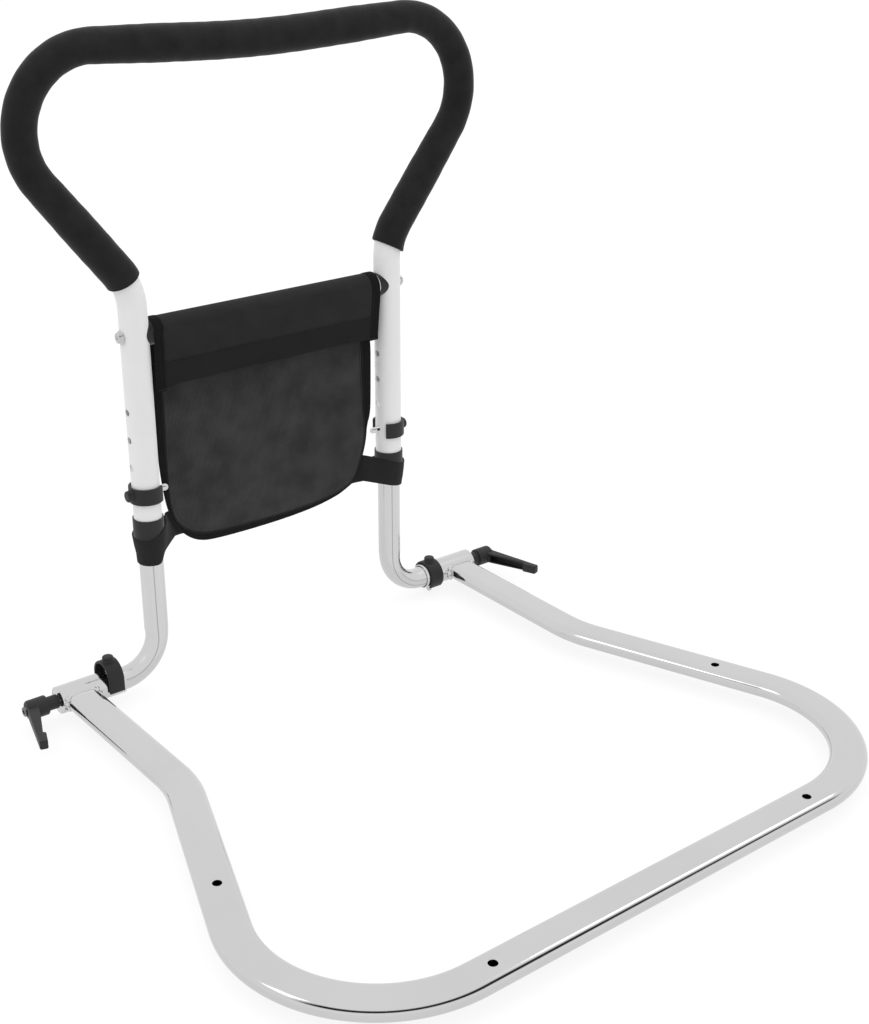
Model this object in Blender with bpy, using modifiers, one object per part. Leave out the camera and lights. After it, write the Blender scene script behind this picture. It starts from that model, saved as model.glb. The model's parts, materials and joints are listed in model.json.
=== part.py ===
"""Bed assist handle: a flat loop that lies under the mattress and a folding grab handle beside the bed.

The loop carries two welded sleeves. The chrome legs turn in the sleeves and are locked there by a vertical
pin and a clamping lever each. The white handle slides over the legs and is held by a pin with a snap clip
on each side. A crossbar with a mesh pouch joins its two legs, and a foam grip covers its upper bow.

Left and right are as seen from the loop's side, looking at the handle: left is -X. Heights are counted
from the sleeves' axis, about which the legs fold. The pieces are named for what they are, and each one that
moves hangs on an empty that lies on its joint's axis.
"""

import math

import bmesh
import bpy
from mathutils import Matrix, Vector

MM = 0.001
SIDES = {"left": -1, "right": 1}

# Tubes and the gaps between pieces
LEG_OD = 22.2 * MM
WALL = 1.2 * MM
SLIDE_GAP = 0.4 * MM
SEAT_GAP = 0.3 * MM
HANDLE_OD = LEG_OD + 2 * (SLIDE_GAP + WALL)
SLEEVE_OD = HANDLE_OD

# Base loop: a flattened tube, in the frame of the sleeves' axis, reaching to -Y
LOOP_WIDTH = 32 * MM
LOOP_HEIGHT = 13.8 * MM
ARM_STRAIGHT = 190 * MM
ARM_SPLAY = math.radians(20)
LOOP_REACH = 523 * MM
LOOP_BEND_R = 112 * MM
LOOP_HOLE_D = 7.6 * MM
ARM_HOLE_Y = 327.4 * MM
BAR_HOLE_X = 166 * MM

# Sleeves, measured along the axis from each arm's middle; the legs' bends stop just short of them
BEND_TO_SLEEVE = 3 * MM
SLEEVE_IN = 44 * MM
SLEEVE_OUT = 19 * MM
SLEEVE_PIN_OFFSET = 33 * MM
DISC_THICKNESS = 3 * MM

# Legs
LEG_X = 135 * MM
LEG_BEND_R = 37.5 * MM
LEG_ABOVE_PIN = 37.5 * MM
LEG_PLUG_LENGTH = 21 * MM
FOLD_RANGE = math.radians(87)

# Handle: the bow's bends are counted from the crossbar, and its top from the bends
HANDLE_BOTTOM = 134 * MM
CROSSBAR_HEIGHT = 324.1 * MM
BEND_ABOVE_CROSSBAR = 42.3 * MM
BOW_BEND_R = 56 * MM
BOW_FLARE = math.radians(37.4)
BOW_SHOULDER_R = 65 * MM
BOW_RISE = 192.6 * MM
BOW_SAG = math.radians(2.7)
BOW_SAG_R = 1250 * MM
HOLE_PITCH = 26 * MM
HOLE_COUNT = 4
PIN_ABOVE_BOTTOM = 43.5 * MM
HANDLE_TRAVEL = (HOLE_COUNT - 1) * HOLE_PITCH

# Foam grip, cut inside the first bend; it reaches further down on the right
FOAM_WALL = 2.4 * MM
FOAM_GAP = 0.4 * MM
FOAM_CUT = {"left": math.radians(27), "right": math.radians(12.5)}

# Collars on the lower ends of the handle tubes
COLLAR_HEIGHT = 28 * MM
COLLAR_OVERLAP = 20 * MM
COLLAR_WALL = 1.0 * MM

# Crossbar with its end plugs and screws
CROSSBAR_OD = 22.2 * MM
PLUG_SHOWING = 2.3 * MM
SPIGOT_LENGTH = 16 * MM
SCREW_D = 6 * MM
SCREW_HEAD_D = 9.5 * MM
SCREW_HEAD_HEIGHT = 2.5 * MM
WASHER_D = 12 * MM
WASHER_HEIGHT = 1 * MM
NUT_ACROSS = 10 * MM
NUT_HEIGHT = 5 * MM
SCREW_PAST_NUT = 1 * MM
PLUG_PROUD = 0.2 * MM
SOCKET_ACROSS = 4 * MM
SOCKET_DEPTH = 1.5 * MM
HEAD_FACE = 0.8
HEAD_CHAMFER = 0.35

# Pouch: one cloth goes from the pocket's back over the crossbar to the front flap. Its sides are counted
# inwards from its upper corners, its upper edges from the crossbar and its lower ones from the handle's bottom
CLOTH = 1.2 * MM
MESH_CLOTH = 0.8 * MM
POUCH_TO_PLUG = 2 * MM
FLAP_DROP = 50.1 * MM
POUCH_BACK_Y = 7.5 * MM
POUCH_LEAN = math.radians(10)
POCKET_DROP = 31.1 * MM
POCKET_DEPTH = 5.1 * MM
BINDING_WIDTH = 8 * MM
POUCH_SHOULDER = (1.2 * MM, 69 * MM)
POUCH_WAIST = (10 * MM, 38 * MM)
POUCH_CORNER = (26 * MM, -12 * MM)
POUCH_BELOW_BOTTOM = 27.4 * MM
POUCH_CORNER_R = 25 * MM

# Straps that tie the pouch to the legs
STRAP_WIDTH = 26 * MM
STRAP_THICKNESS = 1.2 * MM
STRAP_GAP = 0.4 * MM
STRAP_BELOW_BOTTOM = {"left": 5.5 * MM, "right": 0.5 * MM}
STRAP_JOIN_IN = 24 * MM
STRAP_TAIL = 23 * MM
STRAP_TAIL_OVERLAP = 0.3 * MM

# Pins with snap clips
PIN_D = 6 * MM
PIN_GAP = 0.3 * MM
CLIP_THICKNESS = 2.5 * MM
CLIP_WIDTH = 15 * MM
CLIP_GAP = 0.4 * MM
CLIP_WRAP = math.radians(270)
BOSS_D = 10.5 * MM
BOSS_HEIGHT = 4 * MM
BOSS_ROOF = 1.5 * MM
HEIGHT_PIN_REACH = 9.4 * MM
SLEEVE_PIN_REACH = 7 * MM
LEFT_PIN_RAISED = 8.4 * MM

# Clamping levers, measured outwards from the sleeves' ends
STUD_D = 8 * MM
STUD_IN_PLUG = 18 * MM
INSERT_D = 9.8 * MM
INSERT_LENGTH = 15 * MM
THREAD_DEPTH = 11 * MM
NECK_STANDOFF = 1 * MM
NECK_D = 13 * MM
NECK_LENGTH = 10.5 * MM
HUB_D = 18.2 * MM
HUB_LENGTH = 18.7 * MM
SHOULDER_THICKNESS = 2.5 * MM
CLAMP_SCREW_D = 5 * MM
CLAMP_HEAD_D = 9 * MM
CLAMP_HEAD_HEIGHT = 5 * MM
CLAMP_HEAD_PROUD = 3 * MM
SPRING_WIRE = 0.9 * MM
SPRING_CLEARANCE = 0.65 * MM
SPRING_TURNS = 4
LEVER_ARM = 65 * MM
LEVER_TILT = math.radians(17)
ARM_OFFSET = 3.3 * MM
LEVER_EDGE = 1.2 * MM
LEVER_ROOT = (12 * MM, 11.4 * MM)
LEVER_TIP = (7.4 * MM, 8.6 * MM)
LEVER_TIP_BLOCK = 12 * MM
LEVER_RECESS = 2.5 * MM
LEVER_RIM = 1.6 * MM

# How finely round things are cut
TUBE_RESOLUTION = 6
WIRE_RESOLUTION = 1
TURN_STEPS = 20
HOLE_STEPS = 12
OVAL_STEPS = 8
SLOT_STEPS = 12
WRAP_STEPS = 16
NOSE_STEPS = 4
ARC_STEP = math.radians(12)
COIL_POINTS = 9
WELD = 0.001 * MM
PAST = 2 * MM
EMPTY_SIZE = 30 * MM

# Places worked out from the sizes
LEG_R = LEG_OD / 2
HANDLE_R = HANDLE_OD / 2
SLEEVE_R = SLEEVE_OD / 2
BORE_R = LEG_R + SLIDE_GAP
PIN_HOLE_R = PIN_D / 2 + PIN_GAP
SLEEVE_START = LEG_X + LEG_BEND_R + BEND_TO_SLEEVE
ARM_X = SLEEVE_START + SLEEVE_IN
SLEEVE_END = ARM_X + SLEEVE_OUT
SLEEVE_PIN_X = ARM_X - SLEEVE_PIN_OFFSET
LEG_END = SLEEVE_END - DISC_THICKNESS - 2 * SEAT_GAP
PIN_HEIGHT = HANDLE_BOTTOM + PIN_ABOVE_BOTTOM
LEG_TOP = PIN_HEIGHT + LEG_ABOVE_PIN
BOW_BEND = CROSSBAR_HEIGHT + BEND_ABOVE_CROSSBAR
BOW_TOP = BOW_BEND + BOW_RISE
CLIP_OUTER_R = HANDLE_R + CLIP_GAP + CLIP_THICKNESS
CROSSBAR_R = CROSSBAR_OD / 2
CROSSBAR_HALF = LEG_X - HANDLE_R - PLUG_SHOWING
POUCH_HALF = CROSSBAR_HALF - POUCH_TO_PLUG
SPRING_R = (CLAMP_SCREW_D + SPRING_WIRE) / 2 + SPRING_CLEARANCE
AXIS_Z = SLEEVE_R + SLEEVE_PIN_REACH
LOOP_FRONT = LOOP_REACH + LOOP_WIDTH / 2
AXIS_Y = (LOOP_FRONT - CLIP_OUTER_R) / 2

# Colour, roughness and metallic value of each kind of piece
CHROME = ((0.62, 0.62, 0.63), 0.12, 1.0)
STEEL = ((0.50, 0.50, 0.51), 0.35, 1.0)
WHITE_PAINT = ((0.78, 0.78, 0.78), 0.35, 0.0)
FOAM = ((0.020, 0.020, 0.021), 0.95, 0.0)
BLACK_PLASTIC = ((0.030, 0.030, 0.031), 0.5, 0.0)
BLACK_LEVER = ((0.025, 0.025, 0.026), 0.6, 0.0)
BLACK_CLOTH = ((0.016, 0.016, 0.017), 0.9, 0.0)
MESH_GREY = ((0.033, 0.033, 0.034), 0.85, 0.0)
BINDING_BLACK = ((0.008, 0.008, 0.008), 0.8, 0.0)

# Turns a shape's own X, Y and Z into another set of directions
UPRIGHT_OUTLINE = Matrix(((0, 0, 1), (1, 0, 0), (0, 1, 0))).to_4x4()
FRONT_OUTLINE = Matrix.Rotation(math.pi / 2, 4, "X")


def clear_scene():
    """Takes away whatever the scene held."""
    for obj in list(bpy.data.objects):
        bpy.data.objects.remove(obj)


def new_collection(name):
    collection = bpy.data.collections.new(name)
    bpy.context.scene.collection.children.link(collection)
    return collection


clear_scene()
PARTS = new_collection("bed_assist_handle")
CUTTERS = new_collection("cutters")


def empty(name, place, turn=None):
    """A joint's place: the pieces that move about it or along it hang on it."""
    axis = bpy.data.objects.new(name, None)
    axis.empty_display_size = EMPTY_SIZE
    axis.matrix_world = Matrix.Translation(place) @ (turn or Matrix())
    PARTS.objects.link(axis)
    return axis


def mesh_object(name, bm, collection=PARTS):
    bmesh.ops.recalc_face_normals(bm, faces=bm.faces)
    mesh = bpy.data.meshes.new(name)
    bm.to_mesh(mesh)
    bm.free()
    obj = bpy.data.objects.new(name, mesh)
    collection.objects.link(obj)
    return obj


def finish_piece(obj, parent, look, matrix=None, sharp=40):
    """Hangs a piece on its empty, shades it and gives it its own material."""
    colour, roughness, metallic = look
    obj.parent = parent
    obj.matrix_local = matrix or Matrix()
    material = bpy.data.materials.new(obj.name)
    material.use_nodes = True
    shader = material.node_tree.nodes["Principled BSDF"]
    shader.inputs["Base Color"].default_value = (*colour, 1)
    shader.inputs["Roughness"].default_value = roughness
    shader.inputs["Metallic"].default_value = metallic
    obj.data.materials.clear()
    obj.data.materials.append(material)
    obj.data.shade_smooth()
    obj.data.set_sharp_from_angle(angle=math.radians(sharp))
    return obj


def helper(obj, parent, matrix=None):
    """Makes a shape a guide for a Boolean: it is left out of renders and drawn as wire."""
    for collection in obj.users_collection:
        collection.objects.unlink(obj)
    CUTTERS.objects.link(obj)
    obj.parent = parent
    obj.matrix_local = matrix or Matrix()
    obj.hide_render = True
    obj.display_type = "WIRE"
    return obj


def combine(target, other, operation):
    modifier = target.modifiers.new(f"{operation.lower()}_{other.name}", "BOOLEAN")
    modifier.operation = operation
    modifier.solver = "EXACT"
    modifier.object = other


def cut(target, cutter, parent, matrix=None):
    combine(target, helper(cutter, parent, matrix), "DIFFERENCE")


def join(target, other, parent, matrix=None):
    combine(target, helper(other, parent, matrix), "UNION")


def from_curve(curve_object):
    """The mesh object of a curve object, with its end caps welded on."""
    bpy.context.view_layer.update()
    evaluated = curve_object.evaluated_get(bpy.context.evaluated_depsgraph_get())
    mesh = bpy.data.meshes.new_from_object(evaluated)
    name = curve_object.name
    matrix = curve_object.matrix_world.copy()
    bpy.data.objects.remove(curve_object)
    bm = bmesh.new()
    bm.from_mesh(mesh)
    bmesh.ops.remove_doubles(bm, verts=bm.verts, dist=WELD)
    obj = mesh_object(name, bm)
    obj.matrix_world = matrix
    return obj


def poly_curve(name, splines, cyclic):
    curve = bpy.data.curves.new(name, "CURVE")
    for points in splines:
        spline = curve.splines.new("POLY")
        spline.points.add(len(points) - 1)
        for point, place in zip(spline.points, points):
            point.co = (*Vector(place).to_3d(), 1)
        spline.use_cyclic_u = cyclic
    obj = bpy.data.objects.new(name, curve)
    PARTS.objects.link(obj)
    return obj


def round_rod(name, points, radius, resolution=TUBE_RESOLUTION):
    """A solid round rod along the points."""
    rod = poly_curve(name, [points], cyclic=False)
    rod.data.dimensions = "3D"
    rod.data.bevel_depth = radius
    rod.data.bevel_resolution = resolution
    rod.data.use_fill_caps = True
    return from_curve(rod)


def flat_rod(name, points, width, height):
    """A solid rod of flat-oval section along points that lie in a level plane."""
    end_r = height / 2
    to_end = width / 2 - end_r
    right_end = [(to_end + x, y) for x, y in arc(end_r, -math.pi / 2, math.pi / 2, OVAL_STEPS)]
    section = right_end + [(-x, -y) for x, y in right_end]
    profile = poly_curve(name + "_section", [section], cyclic=True)
    profile.data.dimensions = "2D"
    profile.data.fill_mode = "NONE"
    rod = poly_curve(name, [points], cyclic=False)
    rod.data.dimensions = "3D"
    rod.data.twist_mode = "Z_UP"
    rod.data.bevel_mode = "OBJECT"
    rod.data.bevel_object = profile
    rod.data.use_fill_caps = True
    solid = from_curve(rod)
    bpy.data.objects.remove(profile)
    return solid


def plate(name, outlines, thickness):
    """A flat plate with the outline, and any holes, in its own XY plane and its middle at Z = 0."""
    outline = poly_curve(name, outlines, cyclic=True)
    outline.data.dimensions = "2D"
    outline.data.fill_mode = "BOTH"
    outline.data.extrude = thickness / 2
    return from_curve(outline)


def cylinder(name, radius, length, steps=TURN_STEPS):
    """A cylinder along its own Z, with its middle at the origin and a flat, not an edge, towards X."""
    bm = bmesh.new()
    half_step = Matrix.Rotation(math.pi / steps, 4, "Z")
    bmesh.ops.create_cone(
        bm, cap_ends=True, segments=steps, radius1=radius, radius2=radius, depth=length, matrix=half_step
    )
    return mesh_object(name, bm)


def box(name, size):
    bm = bmesh.new()
    bmesh.ops.create_cube(bm, size=1)
    bmesh.ops.scale(bm, vec=size, verts=bm.verts)
    return mesh_object(name, bm)


def turned(name, profile, closed=False, steps=TURN_STEPS):
    """A turned piece about its own Z: (radius, height) points, down the outer side from top to bottom."""
    mesh = bpy.data.meshes.new(name)
    edges = [(i, i + 1) for i in range(len(profile) - 1)]
    if closed:
        edges.append((len(profile) - 1, 0))
    mesh.from_pydata([(radius, 0, height) for radius, height in profile], edges, [])
    obj = bpy.data.objects.new(name, mesh)
    PARTS.objects.link(obj)
    screw = obj.modifiers.new("turn", "SCREW")
    screw.steps = steps
    screw.render_steps = steps
    screw.use_merge_vertices = True
    screw.merge_threshold = WELD
    return obj


def ring(name, inner, outer, bottom, top, steps=TURN_STEPS):
    profile = [(outer, top), (outer, bottom), (inner, bottom), (inner, top)]
    return turned(name, profile, closed=True, steps=steps)


def outwards(side):
    """Turns a piece's own Z to point away from the middle, along +X or -X."""
    return Matrix.Rotation(side * math.pi / 2, 4, "Y")


def bent_route(corners, radii, step=ARC_STEP):
    """Points along straight runs between the corners, with an arc of its own radius at each inner one."""
    corners = [Vector(corner).to_3d() for corner in corners]
    points = [corners[0]]
    for before, corner, after, radius in zip(corners, corners[1:], corners[2:], radii):
        arrive = (corner - before).normalized()
        leave = (after - corner).normalized()
        turn = arrive.angle(leave)
        inward = (leave - arrive * arrive.dot(leave)).normalized()
        centre = corner - arrive * radius * math.tan(turn / 2) + inward * radius
        steps = max(2, round(turn / step))
        for i in range(steps + 1):
            angle = turn * i / steps
            points.append(centre + radius * (math.sin(angle) * arrive - math.cos(angle) * inward))
    return points + [corners[-1]]


def lengthened(points, extra):
    """The route with both ends moved on past where they were."""
    first = points[0] + (points[0] - points[1]).normalized() * extra
    last = points[-1] + (points[-1] - points[-2]).normalized() * extra
    return [first, *points[1:-1], last]


def trimmed(points, first_cut, last_cut):
    """The route without the stated lengths at its start and its end."""
    for left in (first_cut, last_cut):
        while (points[1] - points[0]).length < left:
            left -= (points[1] - points[0]).length
            points = points[1:]
        points = [points[0] + (points[1] - points[0]).normalized() * left, *points[1:]]
        points = points[::-1]
    return points


def inset(corners, distance):
    """A convex outline moved inwards: its corners run anticlockwise in their own XY plane."""
    corners = [Vector(corner).to_2d() for corner in corners]
    moved = []
    for before, corner, after in zip(corners[-1:] + corners[:-1], corners, corners[1:] + corners[:1]):
        arrive = (corner - before).normalized()
        leave = (after - corner).normalized()
        inward = Vector((-arrive.y, arrive.x)), Vector((-leave.y, leave.x))
        moved.append(corner + (inward[0] + inward[1]) * distance / (1 + inward[0].dot(inward[1])))
    return moved


def arc(radius, start, end, steps):
    """Points on a circle about the origin, from one angle to another."""
    angles = [start + (end - start) * i / steps for i in range(steps + 1)]
    return [Vector((radius * math.cos(angle), radius * math.sin(angle))) for angle in angles]


def hollow(outer, points, radius, parent):
    """Bores a swept tube out along its own route, through both ends."""
    core = round_rod(outer.name + "_bore", lengthened(points, PAST), radius)
    cut(outer, core, parent)


def cut_cross_hole(target, parent, radius, height, reach):
    """Drills a hole along X through everything within reach of the middle."""
    drill = cylinder(f"{target.name}_drill_{height / MM:.0f}", radius, 2 * reach, HOLE_STEPS)
    cut(target, drill, parent, Matrix.Translation((0, 0, height)) @ outwards(1))


def loop_route():
    """The base tube's middle line, from the left sleeve round the front bar to the right sleeve."""
    corner_x = ARM_X + (LOOP_REACH - ARM_STRAIGHT) * math.tan(ARM_SPLAY)
    half = [(ARM_X, 0), (ARM_X, -ARM_STRAIGHT), (corner_x, -LOOP_REACH)]
    corners = [(-x, y) for x, y in half] + half[::-1]
    return bent_route(corners, [LOOP_BEND_R] * 4)


def build_base(base):
    """The loop, the sleeves welded to it and the disc that closes the outer end of each sleeve."""
    route = loop_route()
    loop = flat_rod("base_frame", route, LOOP_WIDTH, LOOP_HEIGHT)
    walls = 2 * WALL
    inside = flat_rod("base_frame_bore", lengthened(route, PAST), LOOP_WIDTH - walls, LOOP_HEIGHT - walls)
    cut(loop, inside, base)
    finish_piece(loop, base, CHROME)
    arm_hole_x = ARM_X + (ARM_HOLE_Y - ARM_STRAIGHT) * math.tan(ARM_SPLAY)
    for label, side in SIDES.items():
        seat = cylinder(f"arm_seat_{label}", SLEEVE_R + SEAT_GAP, SLEEVE_OUT + SLEEVE_IN)
        cut(loop, seat, base, Matrix.Translation((side * ARM_X, 0, 0)) @ outwards(side))
        for place, x, y in (("arm", arm_hole_x, ARM_HOLE_Y), ("bar", BAR_HOLE_X, LOOP_REACH)):
            drill = cylinder(f"{place}_hole_{label}", LOOP_HOLE_D / 2, LOOP_HEIGHT + PAST, HOLE_STEPS)
            cut(loop, drill, base, Matrix.Translation((side * x, -y, 0)))
        sleeve = ring(f"sleeve_{label}", BORE_R, SLEEVE_R, SLEEVE_START, SLEEVE_END)
        drill = cylinder(f"sleeve_pin_hole_{label}", PIN_HOLE_R, SLEEVE_OD + PAST, HOLE_STEPS)
        cut(sleeve, drill, base, Matrix.Translation((side * SLEEVE_PIN_X, 0, 0)))
        finish_piece(sleeve, base, CHROME, outwards(side))
        disc = ring(
            f"sleeve_disc_{label}",
            STUD_D / 2 + SEAT_GAP,
            BORE_R - SEAT_GAP,
            SLEEVE_END - DISC_THICKNESS,
            SLEEVE_END,
        )
        finish_piece(disc, base, STEEL, outwards(side))


def fold_slot(name, start):
    """A slot round the leg that lets the sleeve's pin stay in while the leg turns by the fold's range."""
    margin = math.asin(PIN_HOLE_R / (LEG_R - WALL))
    low = start - FOLD_RANGE - margin
    high = start + margin
    outline = arc(LEG_R + PAST, low, high, SLOT_STEPS) + arc(LEG_R / 2, high, low, SLOT_STEPS)
    return plate(name, [outline], 2 * PIN_HOLE_R)


def build_legs(uprights):
    """The chrome legs: straight up inside the handle, and bent outwards into the sleeves."""
    for label, side in SIDES.items():
        top, corner, end = (side * LEG_X, 0, LEG_TOP), (side * LEG_X, 0, 0), (side * LEG_END, 0, 0)
        route = bent_route([top, corner, end], [LEG_BEND_R])
        leg = round_rod(f"leg_{label}", route, LEG_R)
        hollow(leg, route, LEG_R - WALL, uprights)
        slot_height = HANDLE_TRAVEL + 2 * PIN_HOLE_R
        slot = box(f"height_slot_{label}", (LEG_OD + PAST, 2 * PIN_HOLE_R, slot_height))
        middle = PIN_HEIGHT - HANDLE_TRAVEL / 2
        cut(leg, slot, uprights, Matrix.Translation((side * LEG_X, 0, middle)))
        for place, start in (("top", math.pi / 2), ("bottom", -math.pi / 2)):
            slot = fold_slot(f"fold_slot_{place}_{label}", start)
            cut(leg, slot, uprights, Matrix.Translation((side * SLEEVE_PIN_X, 0, 0)) @ UPRIGHT_OUTLINE)
        finish_piece(leg, uprights, CHROME)
        plug = ring(
            f"leg_plug_{label}",
            STUD_D / 2 + SEAT_GAP,
            LEG_R - WALL - SEAT_GAP,
            LEG_END - LEG_PLUG_LENGTH,
            LEG_END,
        )
        finish_piece(plug, uprights, STEEL, outwards(side))


def bow_route():
    """The handle tube's middle line: up, out, round the shoulders and across the slightly sagging top."""
    slope = math.tan(BOW_SAG)
    rise = (BOW_TOP + slope * LEG_X - BOW_BEND) / (1 / math.tan(BOW_FLARE) - slope)
    shoulder = (LEG_X + rise, BOW_BEND + rise / math.tan(BOW_FLARE))
    half = [(LEG_X, HANDLE_BOTTOM), (LEG_X, BOW_BEND), shoulder]
    middle = [(0, BOW_TOP)]
    outline = [(-x, height) for x, height in half] + middle + half[::-1]
    corners = [(x, 0, height) for x, height in outline]
    return bent_route(corners, [BOW_BEND_R, BOW_SHOULDER_R, BOW_SAG_R, BOW_SHOULDER_R, BOW_BEND_R])


def build_bow(handle):
    """The white handle tube with its height holes, and the foam grip round its upper part."""
    route = bow_route()
    bow = round_rod("handle_bow", route, HANDLE_R)
    hollow(bow, route, BORE_R, handle)
    reach = LEG_X + HANDLE_R + PAST
    for i in range(HOLE_COUNT):
        cut_cross_hole(bow, handle, PIN_HOLE_R, PIN_HEIGHT + i * HOLE_PITCH, reach)
    cut_cross_hole(bow, handle, SCREW_D / 2 + PIN_GAP, CROSSBAR_HEIGHT, reach)
    finish_piece(bow, handle, WHITE_PAINT)
    to_bend = BOW_BEND - HANDLE_BOTTOM - BOW_BEND_R * math.tan(BOW_FLARE / 2)
    cuts = [to_bend + BOW_BEND_R * FOAM_CUT[label] for label in SIDES]
    grip_route = trimmed(route, *cuts)
    grip = round_rod("foam_grip", grip_route, HANDLE_R + FOAM_GAP + FOAM_WALL)
    hollow(grip, grip_route, HANDLE_R + FOAM_GAP, handle)
    finish_piece(grip, handle, FOAM)


def build_collars(handle):
    """Plastic bushes on the handle tube's lower ends, which guide the legs."""
    top = HANDLE_BOTTOM + COLLAR_OVERLAP
    bottom = top - COLLAR_HEIGHT
    seat = HANDLE_R + SEAT_GAP
    outer = seat + COLLAR_WALL
    profile = [
        (outer, top),
        (outer, HANDLE_BOTTOM + SEAT_GAP),
        (outer - COLLAR_WALL, bottom),
        (BORE_R, bottom),
        (BORE_R, HANDLE_BOTTOM - SEAT_GAP),
        (seat, HANDLE_BOTTOM - SEAT_GAP),
        (seat, top),
    ]
    for label, side in SIDES.items():
        collar = turned(f"collar_{label}", profile, closed=True)
        finish_piece(collar, handle, BLACK_PLASTIC, Matrix.Translation((side * LEG_X, 0, 0)))


def hexagon(name, across, length):
    """A six-sided prism of the width across its flats."""
    return cylinder(name, across / math.sqrt(3), length, steps=6)


def socket_screw(name, shank_r, shank_end, head_r, head_start, head_end):
    """A turned screw along +Z, its head at the top with a hexagon socket in it."""
    profile = [
        (0, head_end),
        (head_r * HEAD_FACE, head_end),
        (head_r, head_end - (head_end - head_start) * HEAD_CHAMFER),
        (head_r, head_start),
        (shank_r, head_start),
        (shank_r, shank_end),
        (0, shank_end),
    ]
    return turned(name, profile)


def build_crossbar(handle):
    """The crossbar and, at each end, a plug coped to the handle tube and held by a screw and a nut."""
    at_height = Matrix.Translation((0, 0, CROSSBAR_HEIGHT))
    bore = CROSSBAR_R - WALL
    bar = ring("crossbar", bore, CROSSBAR_R, -CROSSBAR_HALF, CROSSBAR_HALF)
    finish_piece(bar, handle, WHITE_PAINT, at_height @ outwards(1))
    shank_hole = SCREW_D / 2 + SEAT_GAP
    spigot_end = CROSSBAR_HALF - SPIGOT_LENGTH
    plug_start = CROSSBAR_HALF + SEAT_GAP
    washer_start = LEG_X + HANDLE_R + SEAT_GAP
    head_start = washer_start + WASHER_HEIGHT + SEAT_GAP
    head_end = head_start + SCREW_HEAD_HEIGHT
    pocket = NUT_HEIGHT + 2 * SEAT_GAP
    for label, side in SIDES.items():
        along = at_height @ outwards(side)
        profile = [
            (CROSSBAR_R + PLUG_PROUD, LEG_X),
            (CROSSBAR_R + PLUG_PROUD, plug_start),
            (bore - SEAT_GAP, plug_start),
            (bore - SEAT_GAP, spigot_end),
            (shank_hole, spigot_end),
            (shank_hole, LEG_X),
        ]
        plug = turned(f"crossbar_plug_{label}", profile, closed=True)
        saddle = cylinder(f"saddle_cut_{label}", HANDLE_R + SEAT_GAP, 4 * CROSSBAR_R)
        cut(plug, saddle, handle, Matrix.Translation((side * LEG_X, 0, CROSSBAR_HEIGHT)))
        nut_room = hexagon(f"nut_pocket_{label}", NUT_ACROSS + 2 * SEAT_GAP, 2 * pocket)
        cut(plug, nut_room, handle, along @ Matrix.Translation((0, 0, spigot_end)))
        finish_piece(plug, handle, BLACK_PLASTIC, along)
        nut = hexagon(f"crossbar_nut_{label}", NUT_ACROSS, NUT_HEIGHT)
        nut_middle = spigot_end + SEAT_GAP + NUT_HEIGHT / 2
        thread = cylinder(f"nut_thread_{label}", shank_hole, 2 * NUT_HEIGHT, HOLE_STEPS)
        cut(nut, thread, handle, along @ Matrix.Translation((0, 0, nut_middle)))
        finish_piece(nut, handle, STEEL, along @ Matrix.Translation((0, 0, nut_middle)))
        washer_end = washer_start + WASHER_HEIGHT
        washer = ring(f"crossbar_washer_{label}", shank_hole, WASHER_D / 2, washer_start, washer_end)
        finish_piece(washer, handle, STEEL, along)
        shank_end = spigot_end - SCREW_PAST_NUT
        name = f"crossbar_screw_{label}"
        screw = socket_screw(name, SCREW_D / 2, shank_end, SCREW_HEAD_D / 2, head_start, head_end)
        socket = hexagon(name + "_socket", SOCKET_ACROSS, 2 * SOCKET_DEPTH)
        cut(screw, socket, handle, along @ Matrix.Translation((0, 0, head_end)))
        finish_piece(screw, handle, STEEL, along)


def pouch_outline():
    """The pouch seen from the front, anticlockwise from its upper left corner."""
    lower = [
        (POUCH_HALF - inward, HANDLE_BOTTOM + above)
        for inward, above in (POUCH_SHOULDER, POUCH_WAIST, POUCH_CORNER)
    ]
    half = [(POUCH_HALF, CROSSBAR_HEIGHT + CROSSBAR_OD), *lower]
    bottom = [(0, HANDLE_BOTTOM - POUCH_BELOW_BOTTOM)]
    return [(-x, height) for x, height in half] + bottom + half[::-1]


def rounded(outline):
    """An outline's corners with its lower ones rounded."""
    radii = [POUCH_CORNER_R] * (len(outline) - 2)
    return [Vector(point).to_2d() for point in bent_route(outline, radii, step=2 * ARC_STEP)]


def lowered_top(outline, top):
    """An outline whose two upper corners are drawn down to a height, along its own sides."""
    left, right = outline[0], outline[-1]
    slant = (top - outline[1][1]) / (left[1] - outline[1][1])
    new_left = Vector(outline[1]).lerp(Vector(left), slant)
    new_right = Vector(outline[-2]).lerp(Vector(right), slant)
    return [new_left, *outline[1:-1], new_right]


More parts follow.
